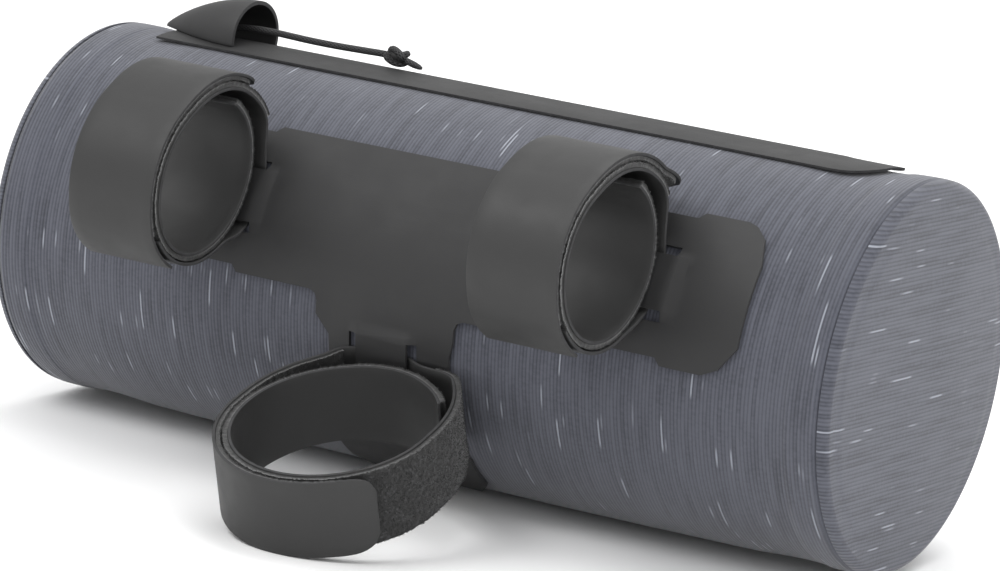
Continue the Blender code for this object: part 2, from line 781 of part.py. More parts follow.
def head_place(p, q, across):
    """Near the bag the strap follows the barrel, further out it lies in its own tilted plane."""
    middle_arc = HEAD_STRAP_TOP - HEAD_STRAP_WIDTH / 2
    down = across + HEAD_STRAP_WIDTH / 2
    start = on_barrel(0.0, 0.0, GAP)
    flat = Vector(
        (
            q,
            start.y - p * math.cos(HEAD_TILT) + down * math.sin(HEAD_TILT),
            HEAD_STRAP_TOP - p * math.sin(HEAD_TILT) - down * math.cos(HEAD_TILT),
        )
    )
    curved = on_barrel(q, arc_to_angle(middle_arc - across), p)
    return curved.lerp(flat, ramp(p, 2 * MM, HEAD_BLEND))


def head_strap_path():
    """From the free end inside the ring, through both slits, round the outside to the tip."""
    ring = HEAD_RING
    half = STRAP_THICKNESS / 2
    path = []
    for angle in span(ring["free_end"], LIFT_END - 360.0, TURN_STEP):
        lift = second_turn_lift(angle + 360.0, HEAD_LIFT_START)
        path.append(ring_point(ring, angle, half + lift))
    behind = GAP + half
    above = behind + 1.5 * PANEL_THICKNESS
    inset, outset = 0.41 * SLIT_WIDTH, 0.44 * SLIT_WIDTH
    right = Vector((above, HEAD_SLIT_X + outset))
    hidden = HEAD_SLIT_X - inset
    path += eased(path[-1], path[-1] - path[-2], right, Vector((behind - above, hidden - right.y)), 9)
    path.append(right)
    path += [Vector((behind, q)) for q in span(hidden, -hidden, 2.6 * MM)]
    left = Vector((above, -right.y))
    path.append(left)
    outer = outer_band_point(HEAD_BAND_START)
    arriving = outer_band_point(HEAD_BAND_START - 5.0) - outer
    path += eased(left, Vector((above - behind, -right.y + hidden)), outer, arriving, 7)
    path += [outer_band_point(angle) for angle in span(HEAD_BAND_START, ring["band_tip"], TURN_STEP)]
    return path


def outer_band_point(angle):
    stack = STRAP_THICKNESS + GAP + LOOP_PILE + GAP + HOOK_PILE + GAP + STRAP_THICKNESS / 2
    loose = HEAD_BAND_LIFT * ramp(angle, 178.0, 245.0)
    return ring_point(HEAD_RING, angle, stack + loose)


def build_head_strap():
    name = "head_tube_strap"
    path = head_strap_path()
    ribbon(name, path, head_place, HEAD_STRAP_WIDTH, STRAP_THICKNESS, STRAP, end_tip=True)

    pile_width = HEAD_STRAP_WIDTH - 2 * PILE_MARGIN
    slit = nearest(path, Vector((0, HEAD_SLIT_X)))
    loops = side_path(path, -(STRAP_THICKNESS / 2 + GAP + LOOP_PILE / 2))
    ribbon(name + "_loop_pile", stretch(loops, 1, slit - 4), head_place, pile_width, LOOP_PILE, LOOPS)

    hooks = side_path(path, STRAP_THICKNESS / 2 + GAP + HOOK_PILE / 2)
    other_slit = nearest(path, Vector((0, -HEAD_SLIT_X)))
    ribbon(
        name + "_hook_pile",
        stretch(hooks, other_slit + 2, len(path) - 2),
        head_place,
        pile_width,
        HOOK_PILE,
        HOOKS,
        end_tip=True,
    )
    return path


def settle(head_path):
    """Rolls the bag on the ground until the head-tube strap's lower edge carries it too, then
    puts the middle of its underside at the origin."""
    barrel = barrel_radius(0.0, SAG_ANGLE)
    edge = side_path(head_path, -STRAP_THICKNESS / 2)
    rolls = []
    for point in edge:
        spot = head_place(point.x, point.y, HEAD_STRAP_WIDTH / 2)
        reach = math.hypot(spot.y, spot.z)
        if reach > barrel:
            rolls.append(math.atan2(-spot.y, -spot.z) - math.acos(barrel / reach))
    FRAME.rotation_euler.x = min(roll for roll in rolls if roll > 0)
    bpy.context.view_layer.update()
    graph = bpy.context.evaluated_depsgraph_get()
    low, high = Vector((9, 9, 9)), Vector((-9, -9, -9))
    for piece in COLLECTION.objects:
        if piece.type == "EMPTY" or piece.hide_render:
            continue
        solid = piece.evaluated_get(graph)
        mesh = solid.to_mesh()
        for point in mesh.vertices:
            world = solid.matrix_world @ point.co
            low = Vector(map(min, low, world))
            high = Vector(map(max, high, world))
        solid.to_mesh_clear()
    FRAME.location = (-(low.x + high.x) / 2, -(low.y + high.y) / 2, -low.z)
    print("roll", math.degrees(FRAME.rotation_euler.x), "frame at", tuple(FRAME.location))
    print("box", tuple(high - low))


build_barrel()
build_end("end_panel_left", -1)
build_end("end_panel_right", 1)
build_zip()
build_hood()
build_slider()
build_cord()
build_knot()
build_panel()
build_bar_strap("left")
build_bar_strap("right")
settle(build_head_strap())
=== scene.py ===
"""Looks of the bicycle handlebar bag: ribbed fabric, rubber-coated panel and straps, hook and loop
pile, zip, garage and braided pull cord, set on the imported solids.

Pieces are built level, in the bag's own frame: its axis is X and -Y faces the bicycle. Places on
the barrel are x and an angle in degrees, 0 in the middle of the -Y side and 90 on top. BAG then
sets them where the rolled bag lies. Sizes repeat part.py's.
"""

import math

import bmesh
import bpy
import numpy as np
from mathutils import Matrix, Vector, noise


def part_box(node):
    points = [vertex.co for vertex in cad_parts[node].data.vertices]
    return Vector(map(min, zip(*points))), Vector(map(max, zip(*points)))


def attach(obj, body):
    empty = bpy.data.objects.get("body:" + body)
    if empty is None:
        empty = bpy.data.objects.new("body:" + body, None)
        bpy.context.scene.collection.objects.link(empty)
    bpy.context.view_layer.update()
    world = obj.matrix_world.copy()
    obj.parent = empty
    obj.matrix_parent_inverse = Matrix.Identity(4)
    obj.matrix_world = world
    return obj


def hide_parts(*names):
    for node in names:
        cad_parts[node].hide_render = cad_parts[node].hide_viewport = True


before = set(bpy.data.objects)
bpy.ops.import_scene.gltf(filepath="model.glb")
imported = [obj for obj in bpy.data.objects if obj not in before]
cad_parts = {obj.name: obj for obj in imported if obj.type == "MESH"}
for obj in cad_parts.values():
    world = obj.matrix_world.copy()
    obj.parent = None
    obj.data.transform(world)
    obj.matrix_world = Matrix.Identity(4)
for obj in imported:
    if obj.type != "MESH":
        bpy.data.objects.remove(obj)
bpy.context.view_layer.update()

MM = 0.001
GAP = 0.3 * MM

# How the bag lies: its roll, and its axis's place from the left end's box
REST_ROLL = math.radians(10.69)
END_LOW, END_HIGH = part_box("end_panel_left")
BAG = Matrix.Translation((0, (END_LOW.y + END_HIGH.y) / 2, (END_LOW.z + END_HIGH.z) / 2))
BAG = BAG @ Matrix.Rotation(REST_ROLL, 4, "X")

# Barrel, as in part.py
BARREL_RADIUS = 60 * MM
BARREL_LENGTH = 294 * MM
SAG = 1.8 * MM
SAG_ANGLE = -70.0
END_DOME = 4.0 * MM
END_ROUNDING = 3.0 * MM

# Zip, hood, slider and cord
ZIP_ANGLE = 105.5
ZIP_WIDTH = 33 * MM
ZIP_FROM_X = -126 * MM
ZIP_TO_X = 132 * MM
ZIP_THICKNESS = 0.9 * MM
ZIP_CORNER = 13 * MM
ZIP_RIDGE = 0.45 * MM
ZIP_RIDGE_REACH = 3.4 * MM
ZIP_GROOVE_REACH = 0.35 * MM
HOOD_TIP_X = -134 * MM
HOOD_MOUTH_X = -99 * MM
HOOD_WIDTH = 26 * MM
HOOD_HEIGHT = 13.5 * MM
HOOD_WALL = 1.3 * MM
HOOD_BLUNTNESS = 0.8
CORD_DIAMETER = 2.2 * MM
CORD_ROUTE = (
    (-110.0, 4.6, 0.0),
    (-107.0, 4.9, 0.0),
    (-103.0, 5.3, 0.1),
    (-98.0, 5.6, 0.2),
    (-92.0, 5.6, 0.3),
    (-86.0, 5.4, 0.4),
    (-80.0, 5.2, 0.5),
    (-74.0, 5.1, 0.6),
    (-68.0, 5.1, 0.7),
    (-62.0, 5.2, 0.8),
    (-57.0, 5.3, 0.9),
    (-53.0, 5.4, 1.0),
    (-50.6, 5.4, 1.0),
)
KNOT_RADIUS = 3.5 * MM
KNOT_LENGTH = 8.5 * MM
KNOT_WAVES = 1.5  # of the strand along the knot, in one turn
KNOT_SQUEEZE = 0.95
KNOT_CORE = 0.8
TAIL_STEPS = (1.0, 3.0, 5.0, 7.0, 9.0, 10.2)  # mm from the knot's middle

# Panel
PANEL_THICKNESS = 1.2 * MM
WING_LENGTH = 119 * MM
WING_TOP = 61 * MM
WING_BOTTOM = 13.2 * MM
WING_END_LENGTH = 26 * MM
NOTCH_DEPTH = 2.2 * MM
NOTCH_RAMP = 1.8 * MM
WING_CHAMFER = (6.5 * MM, 9.5 * MM)
INNER_CORNER = 3.0 * MM
TONGUE_HALF_WIDTH = 24.6 * MM
TONGUE_BOTTOM = -60 * MM
TONGUE_NOTCH_TOP = 4.6 * MM
TONGUE_NOTCH_BOTTOM = -34 * MM
TONGUE_NOTCH_LEFT = 5.0 * MM
TONGUE_NOTCH_RIGHT = 1.2 * MM
SLIT_WIDTH = 3.2 * MM
BAR_SLIT_INNER_X = 52.5 * MM
BAR_SLIT_LENGTH = 40 * MM
BAR_SLIT_UPPER = 46.6 * MM
BAR_SLIT_LOWER = 27.0 * MM
HEAD_SLIT_X = 10.6 * MM
HEAD_SLIT_TOP = 3.2 * MM
HEAD_SLIT_LENGTH = 36 * MM
BRIDGE_EDGE = 4 * MM

# Straps
STRAP_THICKNESS = 1.0 * MM
LOOP_PILE = 1.5 * MM
HOOK_PILE = 1.2 * MM
BAR_STRAP_WIDTH = 30 * MM
HEAD_STRAP_WIDTH = 25 * MM
PILE_MARGIN = 0.4 * MM
LOOP_DEPTH = LOOP_PILE + 0.2 * MM  # the piles as shown, a little into the gaps beside them
HOOK_DEPTH = HOOK_PILE + 0.2 * MM
LOOP_STAND_OFF = STRAP_THICKNESS / 2 + 0.1 * MM + LOOP_DEPTH / 2  # from their strap's middle
HOOK_STAND_OFF = STRAP_THICKNESS / 2 + 0.1 * MM + HOOK_DEPTH / 2
BASE_STAND_OFF = STRAP_THICKNESS + GAP + LOOP_PILE + GAP + STRAP_THICKNESS / 2
BAND_STAND_OFF = STRAP_THICKNESS + GAP + LOOP_PILE + GAP + HOOK_PILE + GAP + STRAP_THICKNESS / 2
HIDDEN_STEP = 1.3 * MM  # between path points behind the panel
TIP_LENGTH = 9 * MM
TIP_NARROWING = 5.5 * MM
BAR_RINGS = {
    "left": {
        "x": -69.0 * MM,
        "p": 76.0 * MM,
        "q": 49.2 * MM,
        "half_long": 24.6 * MM,
        "half_short": 21.4 * MM,
        "long_at": -60.0,
        "free_end": -40.0,
        "band_tip": -57.0,
    },
    "right": {
        "x": 72.5 * MM,
        "p": 76.0 * MM,
        "q": 49.6 * MM,
        "half_long": 25.2 * MM,
        "half_short": 23.0 * MM,
        "long_at": -90.0,
        "free_end": -42.0,
        "band_tip": -79.0,
    },
}
BAR_ROOT_P = 42.9 * MM
LIFT = 7.6 * MM
LIFT_END = -60.0
LIFT_BEYOND = 0.42 * MM
BAR_LIFT_START = 20.0
BAND_START = 141.0
BAND_BASE_START = 196.0
BAND_BASE_END = 118.0
LOOP_PILE_ROOT_Z = 58.0 * MM
HEAD_RING = {
    "p": 42.0 * MM,
    "q": 9.0 * MM,
    "half_long": 32.3 * MM,
    "half_short": 30.0 * MM,
    "long_at": 90.0,
    "free_end": -42.0,
    "band_tip": 38.0,
}
HEAD_TILT = math.radians(8.0)
HEAD_STRAP_TOP = -1.2 * MM
HEAD_LIFT_START = -4.0
HEAD_BAND_START = 232.0
HEAD_BAND_LIFT = 5.2 * MM
HEAD_BLEND = 14 * MM

# Fineness of the meshes here
TURN_STEP = 2.5
SHEET_STEP = 2.6 * MM
SHEET_CLEARANCE = 0.45 * MM
PILE_STEP = 0.55 * MM
TUFTS_PER_MM2 = 1.5
TUFT_RADII = (0.16, 0.36)  # mm, smallest and largest
TUFT_THREAD = 0.07 * MM
TUFT_TALLNESS = 1.25
TUFT_ROOT = 0.05 * MM  # how deep a tuft's ends go in
PILE_ROUGHNESS = 0.24 * MM

# Cloth of the barrel
RIB_PITCH = 1.2 * MM
END_RIB_TILT = math.radians(-12.0)  # the end discs' ribs, from level in the bag's frame
CLOTH_WALL = 1.6 * MM
SEAM_BAND = 14 * MM  # beside each rim, where the barrel's mesh is finer
SEAM_RISE = 0.35 * MM
SEAM_RISE_AT = (12 * MM, 9.5 * MM)  # from the rim
WAIST = -0.6 * MM
WAIST_AT = (40 * MM, 20 * MM, 4 * MM)  # from the rim: where it starts, is deepest and ends
CREASE = -0.9 * MM
CREASE_WIDTH = 1.6 * MM
RIM_GROOVE = -0.35 * MM
RIM_GROOVE_AT = 0.965  # of the end disc's radius
RIM_GROOVE_REACH = 0.02
PUCKER_AT = (0.110, 0.143)  # m from the barrel's middle
WRINKLE = 0.22 * MM

# Camera, in the bag's frame: the photograph's own view of the barrel
CAMERA_YAW = math.radians(31.49)
CAMERA_PITCH = math.radians(20.84)
CAMERA_DISTANCE = 1470.6 * MM
CAMERA_TARGET = Vector((3.52 * MM, 0.0, 1.01 * MM))
CAMERA_LENS = 169.2


def ramp(value, start, end):
    share = min(1.0, max(0.0, (value - start) / (end - start)))
    return share * share * (3 - 2 * share)


def span(start, end, step):
    count = max(1, math.ceil(abs(end - start) / step - 1e-9))
    return [start + (end - start) * i / count for i in range(count + 1)]


def barrel_radius(x, angle):
    along = max(0.0, 1.0 - (2.0 * x / BARREL_LENGTH) ** 2)
    around = (0.5 + 0.5 * math.cos(math.radians(angle - SAG_ANGLE))) ** 2
    return BARREL_RADIUS + SAG * along * around


def on_barrel(x, angle, height=0.0):
    radius = barrel_radius(x, angle) + height
    turn = math.radians(angle)
    return Vector((x, -radius * math.cos(turn), radius * math.sin(turn)))


def arc_to_angle(arc):
    return math.degrees(arc / BARREL_RADIUS)


# Materials


class Nodes:
    """A short way to write a material's node tree."""

    def __init__(self, name, roughness):
        self.material = bpy.data.materials.new(name)
        self.material.use_nodes = True
        self.tree = self.material.node_tree
        self.shader = self.tree.nodes["Principled BSDF"]
        self.shader.inputs["Roughness"].default_value = roughness

    def add(self, kind, **settings):
        node = self.tree.nodes.new("ShaderNode" + kind)
        for key, value in settings.items():
            setattr(node, key, value)
        return node

    def feed(self, node, socket, value):
        target = node.inputs[socket]
        if hasattr(value, "links"):
            self.tree.links.new(value, target)
        else:
            target.default_value = value

    def math(self, operation, *values):
        node = self.add("Math", operation=operation)
        for index, value in enumerate(values):
            self.feed(node, index, value)
        return node.outputs[0]

    def range(self, value, low, high, to_low=0.0, to_high=1.0):
        node = self.add("MapRange", interpolation_type="SMOOTHSTEP")
        for socket, given in (
            ("Value", value),
            ("From Min", low),
            ("From Max", high),
            ("To Min", to_low),
            ("To Max", to_high),
        ):
            self.feed(node, socket, given)
        return node.outputs["Result"]

    def mix(self, share, first, second):
        node = self.add("Mix", data_type="RGBA")
        self.feed(node, 0, share)
        self.feed(node, 6, first)
        self.feed(node, 7, second)
        return node.outputs[2]

    def noise(self, vector, scale, detail=2.0, roughness=0.5):
        node = self.add("TexNoise")
        self.feed(node, "Vector", vector)
        self.feed(node, "Scale", scale)
        self.feed(node, "Detail", detail)
        self.feed(node, "Roughness", roughness)
        return node.outputs[0]

    def vector(self, x, y, z=0.0):
        node = self.add("CombineXYZ")
        self.feed(node, 0, x)
        self.feed(node, 1, y)
        self.feed(node, 2, z)
        return node.outputs[0]

    def bump(self, height, distance, strength=1.0):
        node = self.add("Bump")
        self.feed(node, "Strength", strength)
        self.feed(node, "Distance", distance)
        self.feed(node, "Height", height)
        self.feed(self.shader, "Normal", node.outputs[0])

    def weave(self):
        """Metres across and along a piece's threads, from its UV map."""
        node = self.add("UVMap", uv_map="threads")
        split = self.add("SeparateXYZ")
        self.feed(split, 0, node.outputs[0])
        return split.outputs[0], split.outputs[1]

    def places(self):
        node = self.add("TexCoord")
        return node.outputs["Object"]


def ribbed_fabric():
    """Fine ribs with painted highlights on their crowns and painted shade in their valleys, heathered
    thread by thread, with short pale slubs along some of them.
    """
    made = Nodes("ribbed_fabric", 0.82)
    across, along = made.weave()
    wobble = made.noise(made.vector(made.math("MULTIPLY", across, 60.0), along), 70.0)
    shifted = made.math("ADD", across, made.math("MULTIPLY", wobble, 0.25 * MM))
    rib = made.math("DIVIDE", shifted, RIB_PITCH)
    wave = made.math("COSINE", made.math("MULTIPLY", rib, 2 * math.pi))
    crown = made.range(wave, -0.9, 0.8)
    number = made.math("ROUND", rib)
    thread = made.math("MULTIPLY", number, 7.31)
    slow = made.noise(made.vector(thread, made.math("MULTIPLY", along, 40.0)), 1.0, 1.0)
    quick = made.noise(made.vector(thread, made.math("MULTIPLY", along, 900.0), 3.0), 1.0, 2.0)
    patch = made.noise(made.vector(across, along), 14.0, 2.0)
    slub_row = made.noise(
        made.vector(made.math("MULTIPLY", number, 3.77), made.math("MULTIPLY", along, 46.0), 9.0),
        1.0,
        0.0,
    )
    slub = made.math("MULTIPLY", made.range(slub_row, 0.725, 0.79), made.range(wave, -0.2, 0.6))
    # Rib crowns painted lighter and valleys painted darker: painted highlight and painted shade over
    # the bump.
    rib_valley_shade = (0.028, 0.030, 0.042, 1)
    rib_crown_highlight = (0.062, 0.066, 0.086, 1)
    colour = made.mix(crown, rib_valley_shade, rib_crown_highlight)
    heather = made.math("ADD", made.math("MULTIPLY", slow, 0.9), made.math("MULTIPLY", quick, 0.5))
    heather = made.math("ADD", heather, made.math("MULTIPLY", patch, 0.25))
    colour = made.mix(made.range(heather, 0.55, 1.1, 0.0, 0.42), colour, (0.098, 0.103, 0.128, 1))
    colour = made.mix(made.range(heather, 0.85, 0.5, 0.0, 0.35), colour, (0.016, 0.017, 0.024, 1))
    colour = made.mix(made.math("MULTIPLY", slub, 0.6), colour, (0.34, 0.36, 0.41, 1))
    made.feed(made.shader, "Base Color", colour)
    made.shader.inputs["Sheen Weight"].default_value = 0.25
    made.shader.inputs["Sheen Roughness"].default_value = 0.5
    relief = made.math("ADD", crown, made.math("MULTIPLY", quick, 0.35))
    relief = made.math("ADD", relief, made.math("MULTIPLY", slub, 0.5))
    made.bump(relief, 0.12 * MM, 0.6)
    return made.material


def coated(name, colour, roughness, grain=0.05 * MM, marks=0.25):
    """Rubber-coated laminate: a very fine grain, faint rubbed patches and small marks."""
    made = Nodes(name, roughness)
    where = made.places()
    fine = made.noise(where, 3200.0, 3.0, 0.6)
    broad = made.noise(where, 60.0, 3.0, 0.6)
    lighter = tuple(channel * (1 + 1.6 * marks) for channel in colour)
    darker = tuple(channel * (1 - 0.8 * marks) for channel in colour)
    shade = made.mix(made.range(broad, 0.35, 0.65), (*darker, 1), (*lighter, 1))
    speck = made.range(fine, 0.62, 0.75, 0.0, 0.35)
    shade = made.mix(speck, shade, tuple(channel * 2.2 for channel in colour) + (1,))
    made.feed(made.shader, "Base Color", shade)
    made.feed(made.shader, "Roughness", made.range(broad, 0.3, 0.7, roughness - 0.06, roughness + 0.06))
    made.bump(fine, grain, 0.6)
    return made.material


def pile_look(name, base, glint, share):
    """Nylon pile: near black with grey glints."""
    made = Nodes(name, 0.75)
    where = made.places()
    cells = made.add("TexVoronoi")
    made.feed(cells, "Vector", where)
    made.feed(cells, "Scale", 1500.0)
    split = made.add("SeparateColor")
    made.feed(split, 0, cells.outputs["Color"])
    lit = made.range(split.outputs[0], 1 - share, 1.0)
    colour = made.mix(lit, (*base, 1), (*glint, 1))
    made.feed(made.shader, "Base Color", colour)
    made.shader.inputs["Sheen Weight"].default_value = 0.3
    made.bump(made.noise(where, 2500.0, 2.0), 0.2 * MM, 0.7)
    return made.material


def cord_look():
    """Braid: two sets of strands that cross, with painted highlights on the raised strands and painted
    shade in the grooves between them.
    """
    made = Nodes("braided_cord", 0.6)
    across, along = made.weave()
    turn = made.math("MULTIPLY", across, 8 * 2 * math.pi)
    run = made.math("MULTIPLY", along, 2 * math.pi / (1.5 * MM))
    one = made.math("SINE", made.math("ADD", turn, run))
    two = made.math("SINE", made.math("SUBTRACT", turn, run))
    braid = made.math("MAXIMUM", one, two)
    # Raised strands painted lighter and the grooves between them painted darker: painted highlight and
    # painted shade.
    colour = made.mix(made.range(braid, -0.2, 0.9), (0.004, 0.004, 0.004, 1), (0.03, 0.03, 0.032, 1))
    made.feed(made.shader, "Base Color", colour)
    made.bump(braid, 0.18 * MM, 0.9)
    return made.material


def plain(name, colour, roughness, metallic=0.0):
    made = Nodes(name, roughness)
    where = made.places()
    mottled = made.noise(where, 400.0, 3.0)
    lighter = tuple(min(1.0, channel * 1.4) for channel in colour)
    shade = made.mix(made.range(mottled, 0.35, 0.65), (*colour, 1), (*lighter, 1))
    made.feed(made.shader, "Base Color", shade)
    made.shader.inputs["Metallic"].default_value = metallic
    made.bump(mottled, 0.05 * MM, 0.4)
    return made.material


FABRIC = ribbed_fabric()
LAMINATE = coated("panel_laminate", (0.0135, 0.0135, 0.014), 0.6, marks=0.06)
STRAP = coated("strap_laminate", (0.0165, 0.0165, 0.0165), 0.56, marks=0.06)
HOOD = coated("hood_laminate", (0.017, 0.017, 0.0175), 0.6, marks=0.06)
CUT_EDGE = plain("cut_edge", (0.022, 0.022, 0.023), 0.8)
LOOPS = pile_look("loop_pile", (0.004, 0.004, 0.004), (0.03, 0.03, 0.032), 0.2)
HOOKS = pile_look("hook_pile", (0.003, 0.003, 0.003), (0.02, 0.02, 0.021), 0.2)
CORD = cord_look()
SLIDER = plain("slider_metal", (0.03, 0.03, 0.031), 0.35, 0.9)


# Meshes


def make(name, points, faces, look, threads=None, smooth=40.0):
    """A piece from points in the bag's frame. threads gives each point's two thread lengths."""
    mesh = bpy.data.meshes.new(name)
    mesh.from_pydata([tuple(point) for point in points], [], faces)
    if threads is not None:
        layer = mesh.uv_layers.new(name="threads")
        for loop in mesh.loops:
            layer.data[loop.index].uv = threads[loop.vertex_index]
    return finish_mesh(name, mesh, look, smooth)


def finish_mesh(name, mesh, look, smooth=40.0):
    mesh.materials.append(look)
    mesh.validate()
    mesh.shade_smooth()
    mesh.set_sharp_from_angle(angle=math.radians(smooth))
    piece = bpy.data.objects.new(name, mesh)
    bpy.context.scene.collection.objects.link(piece)
    return piece


def finish(piece, *nodes, slot):
    """Sets the piece where the bag lies. It moves with it and stands for these CAD nodes."""
    piece.data.transform(BAG)
    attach(piece, "root")
    if nodes:
        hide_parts(*nodes)


def solidify(piece, thickness, offset, even=True, edge_look=None):
    modifier = piece.modifiers.new("thickness", "SOLIDIFY")
    modifier.thickness = thickness
    modifier.offset = offset
    modifier.use_even_offset = even
    if edge_look:
        piece.data.materials.append(edge_look)
        modifier.material_offset_rim = 1


def soften(piece, width, segments=2):
    modifier = piece.modifiers.new("soft_edges", "BEVEL")
    modifier.width = width
    modifier.segments = segments
    modifier.limit_method = "ANGLE"
    modifier.angle_limit = math.radians(50)
    modifier.harden_normals = False


def apply_all(piece):
    bpy.context.view_layer.update()
    graph = bpy.context.evaluated_depsgraph_get()
    mesh = bpy.data.meshes.new_from_object(piece.evaluated_get(graph))
    piece.modifiers.clear()
    piece.data = mesh


def lattice(rows, columns, closed=False):
    """Faces of a grid of rows by columns points, numbered row by row."""
    faces = []
    last = columns if closed else columns - 1
    for i in range(rows - 1):
        for j in range(last):
            after = (j + 1) % columns
            here, above = i * columns, (i + 1) * columns
            faces.append((here + j, above + j, above + after, here + after))
    return faces


# Barrel and ends


def wrinkles(x, angle):
    """Slow, shallow waves of the cloth, more of them near the seams."""
    turn = math.radians(angle)
    place = Vector((x * 14, math.cos(turn) * 1.4, math.sin(turn) * 1.4))
    slow = noise.noise(place)
    near_seam = ramp(abs(x), *PUCKER_AT)
    pucker = noise.noise(Vector((x * 30 + 7, math.cos(turn) * 5.5, math.sin(turn) * 5.5)))
    return WRINKLE * slow + 0.35 * WRINKLE * near_seam * pucker


def cloth_radius(x, angle):
    """The barrel's radius with its seam allowances: a flat band beside each rim and a crease."""
    half = BARREL_LENGTH / 2
    band = SEAM_RISE * ramp(abs(x), half - SEAM_RISE_AT[0], half - SEAM_RISE_AT[1])
    waist = WAIST * ramp(abs(x), half - WAIST_AT[0], half - WAIST_AT[1])
    waist *= 1 - ramp(abs(x), half - WAIST_AT[1], half - WAIST_AT[2])
    crease = CREASE * ramp(abs(x), half - CREASE_WIDTH, half)
    return barrel_radius(x, angle) + wrinkles(x, angle) + band + waist + crease


def build_body():
    half = BARREL_LENGTH / 2
    band = half - SEAM_BAND
    along = span(-half, -band, 0.4 * MM) + span(-band, band, 2.2 * MM)[1:-1]
    along += span(band, half, 0.4 * MM)
    around = span(-160.0, 200.0, 2.0)
    points, threads = [], []
    for x in along:
        for angle in around:
            radius = cloth_radius(x, angle)
            turn = math.radians(angle)
            points.append((x, -radius * math.cos(turn), radius * math.sin(turn)))
            threads.append((x, math.radians(angle) * BARREL_RADIUS))
    body = make("barrel_fabric", points, lattice(len(along), len(around)), FABRIC, threads)
    solidify(body, CLOTH_WALL, -1, even=False)
    apply_all(body)
    finish(body, "body_tube", slot="ribbed_fabric")


def build_end(name, node, side):
    """A slightly domed disc with a piped rim."""
    seam = BARREL_LENGTH / 2
    inner = seam + 0.05 * MM
    profile = [(inner, BARREL_RADIUS - 3.5 * MM), (inner, BARREL_RADIUS - 0.7 * MM)]
    for degrees in range(-20, 91, 8):
        turn = math.radians(degrees)
        profile.append(
            (
                seam + END_ROUNDING * max(0.0, math.sin(turn)) + 0.1 * MM,
                BARREL_RADIUS - END_ROUNDING * (1 - math.cos(turn)) + 0.15 * MM,
            )
        )
    rim = profile[-1]
    for share in span(0.0, 1.0, 0.045)[1:]:
        radius = rim[1] * (1 - share)
        rise = (END_DOME - END_ROUNDING) * (1 - (1 - share) ** 2)
        trough = RIM_GROOVE * math.exp(-(((1 - share) - RIM_GROOVE_AT) / RIM_GROOVE_REACH) ** 2)
        profile.append((rim[0] + rise + trough, max(radius, 0.02 * MM)))
    around = span(0.0, 360.0, 2.0)[:-1]
    points, threads = [], []
    lean, level = math.sin(END_RIB_TILT), math.cos(END_RIB_TILT)
    for x, radius in profile:
        for angle in around:
            turn = math.radians(angle)
            y, z = -radius * math.cos(turn), radius * math.sin(turn)
            slow = noise.noise(Vector((y * 22 + side * 5, z * 22, 3.0))) * 0.35 * MM
            slow *= ramp(radius, BARREL_RADIUS, BARREL_RADIUS - 8 * MM)
            points.append((side * (x + slow), y, z))
            threads.append((z * level - y * lean, y * level + z * lean))
    faces = lattice(len(profile), len(around), closed=True)
    faces.append(tuple(range((len(profile) - 1) * len(around), len(profile) * len(around))))
    if side > 0:
        faces = [tuple(reversed(face)) for face in faces]
    disc = make(name, points, faces, FABRIC, threads)
    finish(disc, node, slot="ribbed_fabric")


# Wrapped sheets


def cut_lines(shape, axis, step, more=()):
    reached = [point.co[axis] for point in shape.verts]
    count = math.ceil(max(map(abs, reached)) / step)
    places = [cut * step for cut in range(-count, count + 1)]
    places = [place for place in places if all(abs(place - other) > 0.5 * MM for other in more)]
    normal = Vector((1 - axis, axis, 0))
    for place in sorted(places + list(more)):
        bmesh.ops.bisect_plane(
            shape,
            geom=shape.verts[:] + shape.edges[:] + shape.faces[:],
            plane_co=normal * place,
            plane_no=normal,
            dist=1e-7,
        )


def wrapped_sheet(name, outlines, height, thickness, look, angle_at_zero=0.0, bends=((), ())):
    """A flat shape in x and arc, with holes, laid on the barrel, its cut edges paler."""
    curve = bpy.data.curves.new(name, "CURVE")
    curve.dimensions = "2D"
    curve.fill_mode = "BOTH"
    for outline in outlines:
        spline = curve.splines.new("POLY")
        spline.points.add(len(outline) - 1)
        for point, (x, arc) in zip(spline.points, outline):
            point.co = (x, arc, 0, 1)
        spline.use_cyclic_u = True
    flat = bpy.data.objects.new(name + "_flat", curve)
    bpy.context.scene.collection.objects.link(flat)
    bpy.context.view_layer.update()
    graph = bpy.context.evaluated_depsgraph_get()
    mesh = bpy.data.meshes.new_from_object(flat.evaluated_get(graph))
    bpy.data.objects.remove(flat)
    shape = bmesh.new()
    shape.from_mesh(mesh)
    bmesh.ops.remove_doubles(shape, verts=shape.verts, dist=1e-6)
    cut_lines(shape, 1, SHEET_STEP, bends[1])
    cut_lines(shape, 0, SHEET_STEP, bends[0])
    bmesh.ops.dissolve_degenerate(shape, dist=0.04 * MM, edges=shape.edges[:])
    for face in shape.faces:
        face.normal_update()
        if face.normal.z < 0:
            face.normal_flip()
    shape.verts.index_update()
    count = len(shape.verts)
    under, over = [], []
    for point in shape.verts:
        x, arc = point.co.x, point.co.y
        angle = angle_at_zero + arc_to_angle(arc)
        lift = SHEET_CLEARANCE + height(x, arc)
        under.append(on_barrel(x, angle, lift))
        over.append(on_barrel(x, angle, lift + thickness))
    faces, rims = [], []
    for face in shape.faces:
        ring = [point.index for point in face.verts]
        faces.append([index + count for index in ring])
        faces.append(list(reversed(ring)))
    for edge in shape.edges:
        if edge.is_boundary:
            first = edge.link_loops[0].vert.index
            second = edge.other_vert(edge.link_loops[0].vert).index
            rims.append([first, second, second + count, first + count])
    shape.free()
    piece = make(name, under + over, faces + rims, look)
    piece.data.materials.append(CUT_EDGE)
    for face in list(piece.data.polygons)[len(faces):]:
        face.material_index = 1
    return piece


def rectangle(x_from, x_to, arc_from, arc_to):
    return [(x_from, arc_from), (x_to, arc_from), (x_to, arc_to), (x_from, arc_to)]


